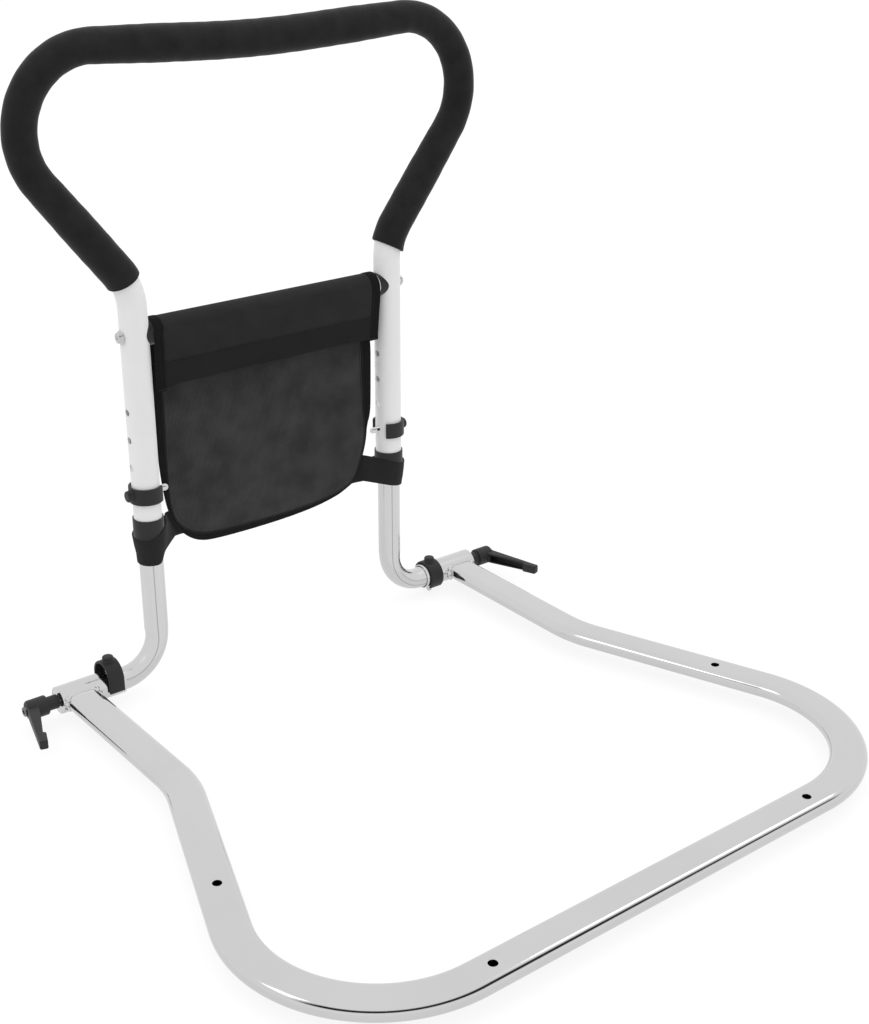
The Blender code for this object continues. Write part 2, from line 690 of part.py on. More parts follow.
def build_pouch(handle):
    """The back cloth with its flap, the binding round its sides and bottom, and the mesh pocket."""
    outline = pouch_outline()
    wrap_r = CROSSBAR_R + SEAT_GAP + CLOTH / 2
    wrap = [point + Vector((0, CROSSBAR_HEIGHT)) for point in arc(wrap_r, -POUCH_LEAN, math.pi, WRAP_STEPS)]
    drop = (wrap[0].x - POUCH_BACK_Y) / math.tan(POUCH_LEAN)
    back = [Vector((POUCH_BACK_Y, 0)), Vector((POUCH_BACK_Y, wrap[0].y - drop))]
    path = back + wrap + [Vector((-wrap_r, CROSSBAR_HEIGHT - FLAP_DROP))]
    ribbon = poly_curve("pouch_back", [path], cyclic=False)
    ribbon.data.dimensions = "2D"
    ribbon.data.extrude = POUCH_HALF + PAST
    cloth = from_curve(ribbon)
    thicken = cloth.modifiers.new("cloth", "SOLIDIFY")
    thicken.thickness = CLOTH
    thicken.offset = 0
    thicken.use_even_offset = True
    blank = plate("pouch_blank", [rounded(outline)], 8 * CROSSBAR_R)
    helper(blank, handle, FRONT_OUTLINE)
    combine(cloth, blank, "INTERSECT")
    finish_piece(cloth, handle, BLACK_CLOTH, UPRIGHT_OUTLINE)

    pocket_top = CROSSBAR_HEIGHT - POCKET_DROP
    pocket_outer = lowered_top(outline, pocket_top)
    pocket_inner = lowered_top(inset(pocket_outer, BINDING_WIDTH), pocket_top)
    mesh_outline = lowered_top(inset(pocket_outer, BINDING_WIDTH + SEAT_GAP), pocket_top)
    back_face = POUCH_BACK_Y - CLOTH / 2 - SEAT_GAP
    front_face = POUCH_BACK_Y - CLOTH / 2 - POCKET_DEPTH - MESH_CLOTH
    depth = back_face - front_face
    binding = plate("pouch_binding", [rounded(pocket_outer) + rounded(pocket_inner)[::-1]], depth)
    middle = (back_face + front_face) / 2
    finish_piece(binding, handle, BINDING_BLACK, Matrix.Translation((0, middle, 0)) @ FRONT_OUTLINE)
    mesh = plate("pouch_mesh", [rounded(mesh_outline)], MESH_CLOTH)
    at_front = Matrix.Translation((0, front_face + MESH_CLOTH / 2, 0))
    finish_piece(mesh, handle, MESH_GREY, at_front @ FRONT_OUTLINE)


def build_straps(handle):
    """Webbing loops round the legs, joined behind the pouch."""
    inner_r = HANDLE_R + SEAT_GAP + COLLAR_WALL + STRAP_GAP
    outer_r = inner_r + STRAP_THICKNESS
    tail_y = POUCH_BACK_Y + CLOTH / 2 + SEAT_GAP + STRAP_THICKNESS / 2
    for label, side in SIDES.items():
        join_point = Vector((-side * STRAP_JOIN_IN, tail_y))
        spread = math.acos(outer_r / join_point.length)
        towards = math.atan2(join_point.y, join_point.x)
        loop = [join_point] + arc(outer_r, towards + spread, towards - spread + 2 * math.pi, TURN_STEPS)
        opening = [point * (inner_r / outer_r) for point in loop]
        strap = plate(f"strap_{label}", [loop, opening], STRAP_WIDTH)
        tail = box(f"strap_tail_{label}", (STRAP_TAIL, STRAP_THICKNESS, STRAP_WIDTH))
        middle = LEG_X - STRAP_JOIN_IN - STRAP_TAIL / 2 + STRAP_TAIL_OVERLAP
        height = HANDLE_BOTTOM - STRAP_BELOW_BOTTOM[label]
        join(strap, tail, handle, Matrix.Translation((side * middle, tail_y, height)))
        finish_piece(strap, handle, BLACK_CLOTH, Matrix.Translation((side * LEG_X, 0, height)))


def clip_outline(wrap, arm):
    """A band round the tube, open on the side away from the boss: an arc with a straight arm at each end."""
    half = wrap / 2
    inner_r = HANDLE_R + CLIP_GAP

    def band(radius):
        points = arc(radius, -half, half, TURN_STEPS)
        reach = Vector((-math.sin(half), math.cos(half))) * arm
        return [points[0] + Vector((reach.x, -reach.y)), *points, points[-1] + reach]

    return band(CLIP_OUTER_R) + band(inner_r)[::-1]


def build_snap_pin(kind, label, parent, reach, wrap=CLIP_WRAP, arm=0.0):
    """A steel pin across a tube, with a plastic clip that snaps round it; the pin pulls out along X."""
    clip = plate(f"{kind}_clip_{label}", [clip_outline(wrap, arm)], CLIP_WIDTH)
    boss_end = CLIP_OUTER_R + BOSS_HEIGHT
    boss_start = CLIP_OUTER_R - CLIP_THICKNESS / 2
    boss = cylinder(f"{clip.name}_boss", BOSS_D / 2, boss_end - boss_start, 2 * HOLE_STEPS)
    join(clip, boss, parent, Matrix.Translation(((boss_end + boss_start) / 2, 0, 0)) @ outwards(1))
    pin_end = boss_end - BOSS_ROOF
    hole = cylinder(f"{clip.name}_hole", PIN_HOLE_R, pin_end + SEAT_GAP, HOLE_STEPS)
    cut(clip, hole, parent, Matrix.Translation(((pin_end + SEAT_GAP) / 2, 0, 0)) @ outwards(1))
    finish_piece(clip, parent, BLACK_PLASTIC)
    tip = -HANDLE_R - reach
    nose = [point + Vector((0, tip + PIN_D / 2)) for point in arc(PIN_D / 2, 0, -math.pi / 2, NOSE_STEPS)]
    profile = [Vector((0, pin_end)), Vector((PIN_D / 2, pin_end)), *nose[:-1], Vector((0, tip))]
    pin = turned(f"{kind}_pin_{label}", profile, steps=HOLE_STEPS)
    finish_piece(pin, parent, STEEL, outwards(1))


def tapered_bar(name, root, tip, start, end):
    """A bar along -Y between two distances, from the root's to the tip's width and height."""
    bm = bmesh.new()
    bmesh.ops.create_cube(bm, size=2)
    for vert in bm.verts:
        far = vert.co.y < 0
        distance = end if far else start
        share = distance / LEVER_ARM
        width, height = (r + (t - r) * share for r, t in zip(root, tip))
        vert.co = (vert.co.x * width / 2, -distance, vert.co.z * height / 2)
    return mesh_object(name, bm)


def build_clamp(label, side, stud_axis, lever_axis):
    """A clamping lever: its threaded stud, the lever that lifts off it, its screw and its spring."""
    name = f"clamp_lever_{label}"
    insert_end = SEAT_GAP + INSERT_LENGTH
    neck_start = NECK_STANDOFF
    hub_start = neck_start + NECK_LENGTH
    hub_end = hub_start + HUB_LENGTH
    shoulder_start = insert_end + SEAT_GAP
    shoulder_end = shoulder_start + SHOULDER_THICKNESS
    head_end = hub_end + CLAMP_HEAD_PROUD
    head_start = head_end - CLAMP_HEAD_HEIGHT
    screw_hole = CLAMP_SCREW_D / 2 + SEAT_GAP
    thread_start = insert_end - THREAD_DEPTH
    stud_end = -(SLEEVE_END - LEG_END) - STUD_IN_PLUG

    stud = turned(
        f"clamp_stud_{label}",
        [
            (0, thread_start),
            (screw_hole, thread_start),
            (screw_hole, insert_end),
            (INSERT_D / 2, insert_end),
            (INSERT_D / 2, SEAT_GAP),
            (STUD_D / 2, SEAT_GAP),
            (STUD_D / 2, stud_end),
            (0, stud_end),
        ],
    )
    finish_piece(stud, stud_axis, STEEL, outwards(side))

    shank_end = thread_start + SEAT_GAP
    screw_name = f"clamp_screw_{label}"
    screw = socket_screw(screw_name, CLAMP_SCREW_D / 2, shank_end, CLAMP_HEAD_D / 2, head_start, head_end)
    socket = hexagon(screw_name + "_socket", SOCKET_ACROSS, 2 * SOCKET_DEPTH)
    cut(screw, socket, stud_axis, outwards(side) @ Matrix.Translation((0, 0, head_end)))
    finish_piece(screw, stud_axis, STEEL, outwards(side))

    spring_start = shoulder_end + SEAT_GAP + SPRING_WIRE / 2
    spring_end = head_start - SEAT_GAP - SPRING_WIRE / 2
    count = SPRING_TURNS * COIL_POINTS
    coil = [
        (
            SPRING_R * math.cos(2 * math.pi * i / COIL_POINTS),
            SPRING_R * math.sin(2 * math.pi * i / COIL_POINTS),
            spring_start + (spring_end - spring_start) * i / count,
        )
        for i in range(count + 1)
    ]
    spring = round_rod(f"clamp_spring_{label}", coil, SPRING_WIRE / 2, WIRE_RESOLUTION)
    finish_piece(spring, lever_axis, STEEL, outwards(side))

    lever = turned(
        name,
        [
            (0, hub_end),
            (HUB_D / 2, hub_end),
            (HUB_D / 2, hub_start),
            (NECK_D / 2, hub_start),
            (NECK_D / 2, neck_start),
            (0, neck_start),
        ],
    )
    root_x = (hub_start + hub_end) / 2 + ARM_OFFSET
    tilted = Matrix.Translation((side * root_x, 0, 0)) @ Matrix.Rotation(side * LEVER_TILT, 4, "Z")
    arm = tapered_bar(name + "_arm", LEVER_ROOT, LEVER_TIP, 0, LEVER_ARM)
    rounding = arm.modifiers.new("edges", "BEVEL")
    rounding.width = LEVER_EDGE
    rounding.segments = 2
    join(lever, arm, lever_axis, tilted)
    root = [size - 2 * LEVER_RIM for size in LEVER_ROOT]
    tip = [size - 2 * LEVER_RIM for size in LEVER_TIP]
    recess = tapered_bar(name + "_recess", root, tip, HUB_D / 2 + LEVER_RIM, LEVER_ARM - LEVER_TIP_BLOCK)
    inner_face = -side * (LEVER_RECESS + LEVER_RIM)
    cut(lever, recess, lever_axis, tilted @ Matrix.Translation((inner_face, 0, 0)))
    insert_room = INSERT_D / 2 + SEAT_GAP
    chamber = CLAMP_HEAD_D / 2 + SLIDE_GAP
    bore = turned(
        name + "_bore",
        [
            (0, hub_end + PAST),
            (chamber, hub_end + PAST),
            (chamber, shoulder_end),
            (screw_hole, shoulder_end),
            (screw_hole, shoulder_start),
            (insert_room, shoulder_start),
            (insert_room, neck_start - PAST),
            (0, neck_start - PAST),
        ],
    )
    cut(lever, bore, lever_axis, outwards(side))
    finish_piece(lever, lever_axis, BLACK_LEVER, outwards(side))


def build():
    """The whole handle, hung on one empty for each joint."""
    origin = Vector((0, AXIS_Y, AXIS_Z))
    base = empty("base_axis", origin)
    uprights = empty("fold_axis", origin)
    handle = empty("height_axis", origin)
    build_base(base)
    build_legs(uprights)
    build_bow(handle)
    build_collars(handle)
    build_crossbar(handle)
    build_pouch(handle)
    build_straps(handle)
    upwards = Matrix.Rotation(-math.pi / 2, 4, "Y")
    raised_arm = (CLIP_WRAP - math.pi) / 2 * (CLIP_OUTER_R - CLIP_THICKNESS / 2)
    for label, side in SIDES.items():
        place = origin + Vector((side * LEG_X, 0, PIN_HEIGHT))
        turn = Matrix.Rotation(0 if side > 0 else math.pi, 4, "Z")
        build_snap_pin("height", label, empty(f"height_pin_axis_{label}", place, turn), HEIGHT_PIN_REACH)
        raised = side < 0
        place = origin + Vector((side * SLEEVE_PIN_X, 0, LEFT_PIN_RAISED if raised else 0))
        pin_axis = empty(f"sleeve_pin_axis_{label}", place, upwards)
        shape = {"wrap": math.pi, "arm": raised_arm} if raised else {}
        build_snap_pin("sleeve", label, pin_axis, SLEEVE_PIN_REACH, **shape)
        place = origin + Vector((side * SLEEVE_END, 0, 0))
        stud_axis = empty(f"clamp_turn_axis_{label}", place)
        lever_axis = empty(f"clamp_lift_axis_{label}", place)
        build_clamp(label, side, stud_axis, lever_axis)


build()
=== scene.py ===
"""Bed assist handle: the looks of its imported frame, piece by piece, in the order it is put together.

Lengths are in metres. Places are given from the middle of the fold axis, about which the legs turn in their
sleeves: X runs along that axis, Y away from the loop, and Z upwards. Left is -X.
"""

import json
import math

import bmesh
import bpy
import numpy as np
from mathutils import Matrix, Vector

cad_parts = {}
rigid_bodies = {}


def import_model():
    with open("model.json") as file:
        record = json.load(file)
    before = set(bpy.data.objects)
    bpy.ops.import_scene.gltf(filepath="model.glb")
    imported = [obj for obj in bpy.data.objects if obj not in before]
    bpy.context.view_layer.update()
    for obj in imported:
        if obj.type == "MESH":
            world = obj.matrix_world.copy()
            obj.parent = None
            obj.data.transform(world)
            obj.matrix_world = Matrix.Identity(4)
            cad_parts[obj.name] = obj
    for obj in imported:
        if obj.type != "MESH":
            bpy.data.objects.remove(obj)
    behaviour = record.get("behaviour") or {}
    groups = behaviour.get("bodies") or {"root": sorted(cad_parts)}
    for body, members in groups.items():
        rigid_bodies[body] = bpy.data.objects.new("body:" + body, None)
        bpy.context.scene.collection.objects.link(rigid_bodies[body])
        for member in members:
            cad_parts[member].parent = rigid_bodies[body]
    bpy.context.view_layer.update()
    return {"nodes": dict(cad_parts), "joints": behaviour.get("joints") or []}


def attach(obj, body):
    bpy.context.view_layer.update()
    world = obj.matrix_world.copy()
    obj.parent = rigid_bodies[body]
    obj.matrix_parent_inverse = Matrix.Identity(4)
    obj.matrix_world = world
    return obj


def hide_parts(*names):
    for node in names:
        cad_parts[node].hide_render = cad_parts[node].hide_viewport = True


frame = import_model()
fold = next(joint for joint in frame["joints"] if joint["name"] == "uprights_fold")
AXIS = np.array(fold["pos_m"], float)
SIDES = {"left": -1, "right": 1}

# The photograph's view: the camera stands in front of the loop and to the left of the handle, a little above
# the grip, and looks down across the whole thing. Its lens is given by its focal length in pixels.
CAMERA_PLACE = (-0.75258, -0.93880, 0.76261)
LOOKS_DOWN, HEADING, ROLL = 0.41524, -0.66747, 0.00255
FOCAL_PIXELS, PHOTO_HEIGHT, FILM_HEIGHT = 1610.23, 1024, 36

lens = bpy.data.cameras.new("camera")
lens.sensor_fit = "VERTICAL"
lens.sensor_height = FILM_HEIGHT
lens.lens = FILM_HEIGHT * FOCAL_PIXELS / PHOTO_HEIGHT
lens.clip_end = 60
camera = bpy.data.objects.new("camera", lens)
camera.matrix_world = (
    Matrix.Translation(CAMERA_PLACE)
    @ Matrix.Rotation(HEADING, 4, "Z")
    @ Matrix.Rotation(math.pi / 2 - LOOKS_DOWN, 4, "X")
    @ Matrix.Rotation(ROLL, 4, "Z")
)
bpy.context.collection.objects.link(camera)
bpy.context.scene.camera = camera

# The studio is a white tent over a pale floor, lit more from above and open only towards the photographer.
# The dark room behind that opening draws the thin lines along the chrome; two softboxes light it.
FLOOR_HALF = 14
FLOOR_GREY, FLOOR_GLOW = 0.13, 0.84
TENT_MIRRORED, TENT_MIRRORED_TWICE, ROOM_MIRRORED = 1.1, 1.9, 0.03
TENT_LOW, TENT_HIGH = 0.72, 1.95
TO_ROOM = (-0.242, -0.970, 0)
ROOM_FROM, ROOM_TO, ROOM_SIDE = (0.44, 0.52), (0.84, 0.72), (0.10, 0.32)
SOFTBOX_SIZE, SOFTBOX_POWER = 0.9, 4.5
SOFTBOXES = {"right_light": (1.84, -0.16, 2.36), "left_light": (-1.94, 0.52, 2.23)}
SOFTBOXES_FACE = (0, 0, 0.2)
WHITE_LIGHT = (1, 1, 1, 1)


def put(tree, kind, inputs=(), **settings):
    """Adds a shader node. settings are its properties; inputs are its sockets' values or what feeds them."""
    made = tree.nodes.new(kind)
    for key, value in settings.items():
        setattr(made, key, value)
    for key, value in dict(inputs).items():
        if isinstance(value, bpy.types.NodeSocket):
            tree.links.new(value, made.inputs[key])
        else:
            made.inputs[key].default_value = value
    return made


def sum_of(tree, operation, *values):
    """A Math node's result for one, two or three values."""
    return put(tree, "ShaderNodeMath", enumerate(values), operation=operation).outputs[0]


def ranged(tree, value, start, end, low=0.0, high=1.0, smooth=False):
    """A value taken from between start and end to between low and high."""
    kind = "SMOOTHSTEP" if smooth else "LINEAR"
    inputs = {"Value": value, "From Min": start, "From Max": end, "To Min": low, "To Max": high}
    return put(tree, "ShaderNodeMapRange", inputs, interpolation_type=kind).outputs["Result"]


tent = bpy.data.worlds.new("tent")
tent.use_nodes = True
tree = tent.node_tree
tree.nodes.clear()
direction = put(tree, "ShaderNodeTexCoord").outputs["Generated"]
height = put(tree, "ShaderNodeSeparateXYZ", {"Vector": direction}).outputs["Z"]
towards_room = put(tree, "ShaderNodeVectorMath", {0: direction, 1: TO_ROOM}, operation="DOT_PRODUCT")
above_sill = ranged(tree, height, *ROOM_FROM, smooth=True)
below_top = ranged(tree, height, *ROOM_TO, smooth=True)
between_sides = ranged(tree, towards_room.outputs["Value"], *ROOM_SIDE, smooth=True)
opening = sum_of(tree, "MULTIPLY", sum_of(tree, "MULTIPLY", above_sill, below_top), between_sides)
rays = put(tree, "ShaderNodeLightPath").outputs
once = ranged(tree, rays["Glossy Depth"], 1, 2, 1, 0)
tent_strength = ranged(tree, once, 0, 1, TENT_MIRRORED_TWICE, TENT_MIRRORED)
mirrored = ranged(tree, sum_of(tree, "MULTIPLY", opening, once), 0, 1, tent_strength, ROOM_MIRRORED)
spread = ranged(tree, height, 0, 1, TENT_LOW, TENT_HIGH)
by_ray = {"Factor": rays["Is Diffuse Ray"], "A": mirrored, "B": spread}
strength = put(tree, "ShaderNodeMix", by_ray, data_type="FLOAT")
lit = put(tree, "ShaderNodeBackground", {"Color": WHITE_LIGHT, "Strength": strength.outputs["Result"]})
plain = put(tree, "ShaderNodeBackground", {"Color": WHITE_LIGHT, "Strength": 1.0})
mixed = put(tree, "ShaderNodeMixShader", {0: rays["Is Camera Ray"], 1: lit.outputs[0], 2: plain.outputs[0]})
put(tree, "ShaderNodeOutputWorld", {"Surface": mixed.outputs[0]})
tent.cycles.sampling_method = "NONE"
bpy.context.scene.world = tent
bpy.context.scene.view_settings.view_transform = "Standard"

for name, place in SOFTBOXES.items():
    light = bpy.data.lights.new(name, "AREA")
    light.size = SOFTBOX_SIZE
    light.energy = SOFTBOX_POWER
    softbox = bpy.data.objects.new(name, light)
    softbox.location = place
    facing = Vector(SOFTBOXES_FACE) - Vector(place)
    softbox.rotation_euler = facing.to_track_quat("-Z", "Y").to_euler()
    bpy.context.collection.objects.link(softbox)

floor_mesh = bpy.data.meshes.new("floor")
corners = [(x * FLOOR_HALF, y * FLOOR_HALF, 0) for x, y in ((-1, -1), (1, -1), (1, 1), (-1, 1))]
floor_mesh.from_pydata(corners, [], [(0, 1, 2, 3)])
floor = bpy.data.objects.new("floor", floor_mesh)
bpy.context.collection.objects.link(floor)
floor_paper = bpy.data.materials.new("floor_paper")
floor_paper.use_nodes = True
shader = floor_paper.node_tree.nodes["Principled BSDF"]
shader.inputs["Base Color"].default_value = (FLOOR_GREY, FLOOR_GREY, FLOOR_GREY, 1)
shader.inputs["Roughness"].default_value = 1
shader.inputs["Specular IOR Level"].default_value = 0
shader.inputs["Emission Color"].default_value = WHITE_LIGHT
shader.inputs["Emission Strength"].default_value = FLOOR_GLOW
floor_mesh.materials.append(floor_paper)

# A white screen stands round the fold axis, seen only in the bright metal: it keeps the dark room out of the
# legs' bends and the sleeves. A small one keeps the left clip out of its leg's bend.
SCREEN_HALF, SCREEN_FRONT, SCREEN_BACK, SCREEN_LOW, SCREEN_HIGH = 0.25, -0.03, 0.15, 0.009, 0.2
SMALL_SCREEN_X, SMALL_SCREEN_HALF, SMALL_SCREEN_LOW, SMALL_SCREEN_HIGH = -0.174, 0.03, 0.0135, 0.07

left_half = [(-SCREEN_HALF, SCREEN_BACK), (-SCREEN_HALF, SCREEN_FRONT)]
screen_line = left_half + [(-x, y) for x, y in left_half[::-1]]
small_line = [(SMALL_SCREEN_X, -SMALL_SCREEN_HALF), (SMALL_SCREEN_X, SMALL_SCREEN_HALF)]
screen_mesh = bpy.data.meshes.new("screen")
screen_places = [(x, y, z) for x, y in screen_line for z in (SCREEN_LOW, SCREEN_HIGH)]
screen_places += [(x, y, z) for x, y in small_line for z in (SMALL_SCREEN_LOW, SMALL_SCREEN_HIGH)]
screen_faces = [(k, k + 1, k + 3, k + 2) for k in (0, 2, 4, 8)]
screen_mesh.from_pydata((np.array(screen_places) + AXIS).tolist(), [], screen_faces)
screen = bpy.data.objects.new("screen", screen_mesh)
bpy.context.collection.objects.link(screen)
screen_paper = floor_paper.copy()
screen_paper.name = "screen_paper"
shader = screen_paper.node_tree.nodes["Principled BSDF"]
shader.inputs["Base Color"].default_value = (0, 0, 0, 1)
shader.inputs["Emission Strength"].default_value = TENT_MIRRORED
screen_mesh.materials.append(screen_paper)
screen.visible_camera = screen.visible_diffuse = screen.visible_shadow = screen.visible_transmission = False

# Base loop: one flat-oval steel tube, bright chrome plated, bent in four places and lying flat. Four small
# holes go through it, and both ends are coped to the sleeves and welded there.
ARM_X, ARM_STRAIGHT, ARM_SPLAY = 0.2195, 0.190, math.radians(20)
LOOP_REACH, LOOP_BEND_R = 0.523, 0.112
LOOP_WIDE, LOOP_HIGH, TUBE_WALL = 0.032, 0.0138, 0.0012
LOOP_HOLE_D, ARM_HOLE_Y, BAR_HOLE_X = 0.0077, 0.3274, 0.166
LOOP_HOLE_RIM_D, LOOP_HOLE_RIM, HOLE_SIDES = 0.0098, 0.0003, 48
LOOP_ROWS = 560
SLEEVE_OD = 0.0254
UPWARDS = np.array([0.0, 0.0, 1.0])


def bent_route(corners, radii, turn_step=math.radians(0.5)):
    """Points along straight runs between corners, with an arc in place of each inner corner.

    An arc of radius r that turns by t starts r * tan(t / 2) before its corner, and its centre lies r to the
    inner side of the run that arrives there.
    """
    corners = np.array(corners, float)
    parts = [corners[:1]]
    for before, corner, after, radius in zip(corners, corners[1:], corners[2:], radii):
        arrive = (corner - before) / np.linalg.norm(corner - before)
        leave = (after - corner) / np.linalg.norm(after - corner)
        turn = math.acos(np.clip(arrive @ leave, -1, 1))
        inward = leave - arrive * (arrive @ leave)
        inward /= np.linalg.norm(inward)
        centre = corner - arrive * radius * math.tan(turn / 2) + inward * radius
        angle = np.linspace(0, turn, 1 + max(2, math.ceil(turn / turn_step)))[:, None]
        parts.append(centre + radius * (np.sin(angle) * arrive - np.cos(angle) * inward))
    return np.concatenate(parts + [corners[-1:]])


def route_length(route):
    """The length of a route, from point to point."""
    return float(np.linalg.norm(np.diff(route, axis=0), axis=1).sum())


def along(route, distances, reach=0.0004):
    """Places and unit directions at distances along a route, read off between its points.

    The direction is that from the place a reach before to the place a reach after.
    """
    passed = np.concatenate([[0], np.cumsum(np.linalg.norm(np.diff(route, axis=0), axis=1))])

    def place(at):
        return np.stack([np.interp(at, passed, route[:, k]) for k in range(route.shape[1])], 1)

    distances = np.asarray(distances, float)
    ahead = place(np.minimum(distances + reach, passed[-1])) - place(np.maximum(distances - reach, 0))
    return place(distances), ahead / np.linalg.norm(ahead, axis=1, keepdims=True)


def carried(route, distances, outlines, upright):
    """A grid of points: an outline's (a, b) carried along a route, to place + a * side + b * upright.

    side is square to the way ahead and to upright. There is one outline, or one for each distance.
    """
    place, ahead = along(route, distances)
    side = np.cross(ahead, upright)
    outlines = np.broadcast_to(outlines, (len(place), *np.shape(outlines)[-2:]))
    return place[:, None] + outlines[..., :1] * side[:, None] + outlines[..., 1:] * upright


def flat_oval(wide, high, points=56):
    """Two half circles of the height's radius joined by flats, anticlockwise."""
    angle = np.linspace(-math.pi / 2, math.pi / 2, points // 2)
    right = np.stack([(wide - high) / 2 + high / 2 * np.cos(angle), high / 2 * np.sin(angle)], 1)
    return np.concatenate([right, -right])


def grid_faces(rows, columns, closes):
    """Each face's row and column in a grid of points, and the numbers of the four points that it joins.

    closes says whether the last row, and the last column, meets the first.
    """
    row = np.arange(rows if closes[0] else rows - 1)[:, None]
    column = np.arange(columns if closes[1] else columns - 1)[None, :]
    here, after = row * columns, (row + 1) % rows * columns
    beside = (column + 1) % columns
    corners = (here + column, after + column, after + beside, here + beside)
    return row, column, np.stack(corners, -1).reshape(-1, 4)


def surface(name, grid, closes=(False, True), uv=None):
    """A mesh of four-sided faces over a grid of points [row, column].

    uv is each point's place on the flat material, with one more row or column where the last meets the first.
    """
    row, column, faces = grid_faces(*grid.shape[:2], closes)
    mesh = bpy.data.meshes.new(name)
    mesh.from_pydata((grid.reshape(-1, 3) + AXIS).tolist(), [], faces.tolist())
    if uv is not None:
        places = [uv[row + down, column + right] for down, right in ((0, 0), (1, 0), (1, 1), (0, 1))]
        mesh.uv_layers.new(name="flat").data.foreach_set("uv", np.stack(places, 2).ravel())
    return mesh


def flat_places(row_distances, column_distances):
    """Each grid point's place on the flat material, from its row's and its column's distance."""
    return np.stack(np.meshgrid(row_distances, column_distances, indexing="ij"), -1)


def finished(name, mesh, material, sharp=None):
    """The piece of a mesh: its poles are closed, its faces point out and it is shaded round."""
    shape = bmesh.new()
    shape.from_mesh(mesh)
    bmesh.ops.remove_doubles(shape, verts=shape.verts, dist=1e-7)
    bmesh.ops.recalc_face_normals(shape, faces=shape.faces)
    shape.to_mesh(mesh)
    shape.free()
    mesh.shade_smooth()
    if sharp:
        mesh.set_sharp_from_angle(angle=math.radians(sharp))
    mesh.materials.append(material)
    made = bpy.data.objects.new(name, mesh)
    bpy.context.collection.objects.link(made)
    return made


def apply_modifiers(made):
    """Works the piece's modifiers into its mesh."""
    bpy.context.view_layer.update()
    seen_as = made.evaluated_get(bpy.context.evaluated_depsgraph_get())
    mesh = bpy.data.meshes.new_from_object(seen_as)
    made.modifiers.clear()
    made.data = mesh


def work(made, tool, operation, sharp=30):
    """Joins another closed shape to the piece (UNION) or cuts it out of the piece (DIFFERENCE)."""
    cut = made.modifiers.new("shape", "BOOLEAN")
    cut.operation = operation
    cut.solver = "EXACT"
    cut.object = tool
    apply_modifiers(made)
    bpy.data.objects.remove(tool)
    made.data.shade_smooth()
    made.data.set_sharp_from_angle(angle=math.radians(sharp))


def drill(made, holes):
    """Cuts round holes in the piece, each given by its middle, direction, radius and length."""
    rods = bmesh.new()
    for middle, direction, radius, length in holes:
        pose = Vector(direction).to_track_quat("Z", "X").to_matrix().to_4x4()
        pose.translation = Vector(AXIS + middle)
        bmesh.ops.create_cone(
            rods,
            cap_ends=True,
            segments=HOLE_SIDES,
            radius1=radius,
            radius2=radius,
            depth=length,
            matrix=pose,
        )
    rod_mesh = bpy.data.meshes.new("rods")
    rods.to_mesh(rod_mesh)
    rods.free()
    rod_object = bpy.data.objects.new("rods", rod_mesh)
    bpy.context.collection.objects.link(rod_object)
    work(made, rod_object, "DIFFERENCE")


def node_group(name, inputs, outputs):
    """A shader node group, with what its input node gives and what its output node takes."""
    group = bpy.data.node_groups.new(name, "ShaderNodeTree")
    for socket, (kind, default) in inputs.items():
        made = group.interface.new_socket(socket, in_out="INPUT", socket_type=kind)
        if default is not None:
            made.default_value = default
    for socket, kind in outputs.items():
        group.interface.new_socket(socket, in_out="OUTPUT", socket_type=kind)
    return group, put(group, "NodeGroupInput").outputs, put(group, "NodeGroupOutput").inputs


def grain_group():
    """Small unevenness: Height is fine noise for a bump, and Patches a broad one between two values."""
    group, given, result = node_group(
        "grain",
        {
            "Vector": ("NodeSocketVector", None),
            "Grain Scale": ("NodeSocketFloat", 1500.0),
            "Patch Scale": ("NodeSocketFloat", 40.0),
            "Low": ("NodeSocketFloat", 0.0),
            "High": ("NodeSocketFloat", 1.0),
        },
        {"Height": "NodeSocketFloat", "Patches": "NodeSocketFloat"},
    )

    def noise(scale, detail):
        inputs = {"Vector": given["Vector"], "Scale": given[scale], "Detail": detail}
        return put(group, "ShaderNodeTexNoise", inputs).outputs["Fac"]

    patches = ranged(group, noise("Patch Scale", 4.0), 0.3, 0.7, given["Low"], given["High"])
    group.links.new(noise("Grain Scale", 3.0), result["Height"])
    group.links.new(patches, result["Patches"])
    return group


GRAIN = grain_group()


def new_material(name, colour, roughness, metallic=0.0, specular=0.5):
    """A material's tree and its Principled shader with the plain values set."""
    material = bpy.data.materials.new(name)
    material.use_nodes = True
    principled = material.node_tree.nodes["Principled BSDF"]
    principled.inputs["Base Color"].default_value = (*colour, 1)
    principled.inputs["Roughness"].default_value = roughness
    principled.inputs["Metallic"].default_value = metallic
    principled.inputs["Specular IOR Level"].default_value = specular
    return material, material.node_tree, principled


def grained(tree, coordinates, grain, patch, low, high):
    """The grain group placed in a material with its own values."""
    inputs = {"Vector": coordinates, "Grain Scale": grain, "Patch Scale": patch, "Low": low, "High": high}
    return put(tree, "ShaderNodeGroup", inputs, node_tree=GRAIN)


def bump(tree, principled, height, strength, distance):
    """Feeds a height to the shader's normal."""
    raised = put(tree, "ShaderNodeBump", {"Height": height, "Strength": strength, "Distance": distance})
    tree.links.new(raised.outputs["Normal"], principled.inputs["Normal"])


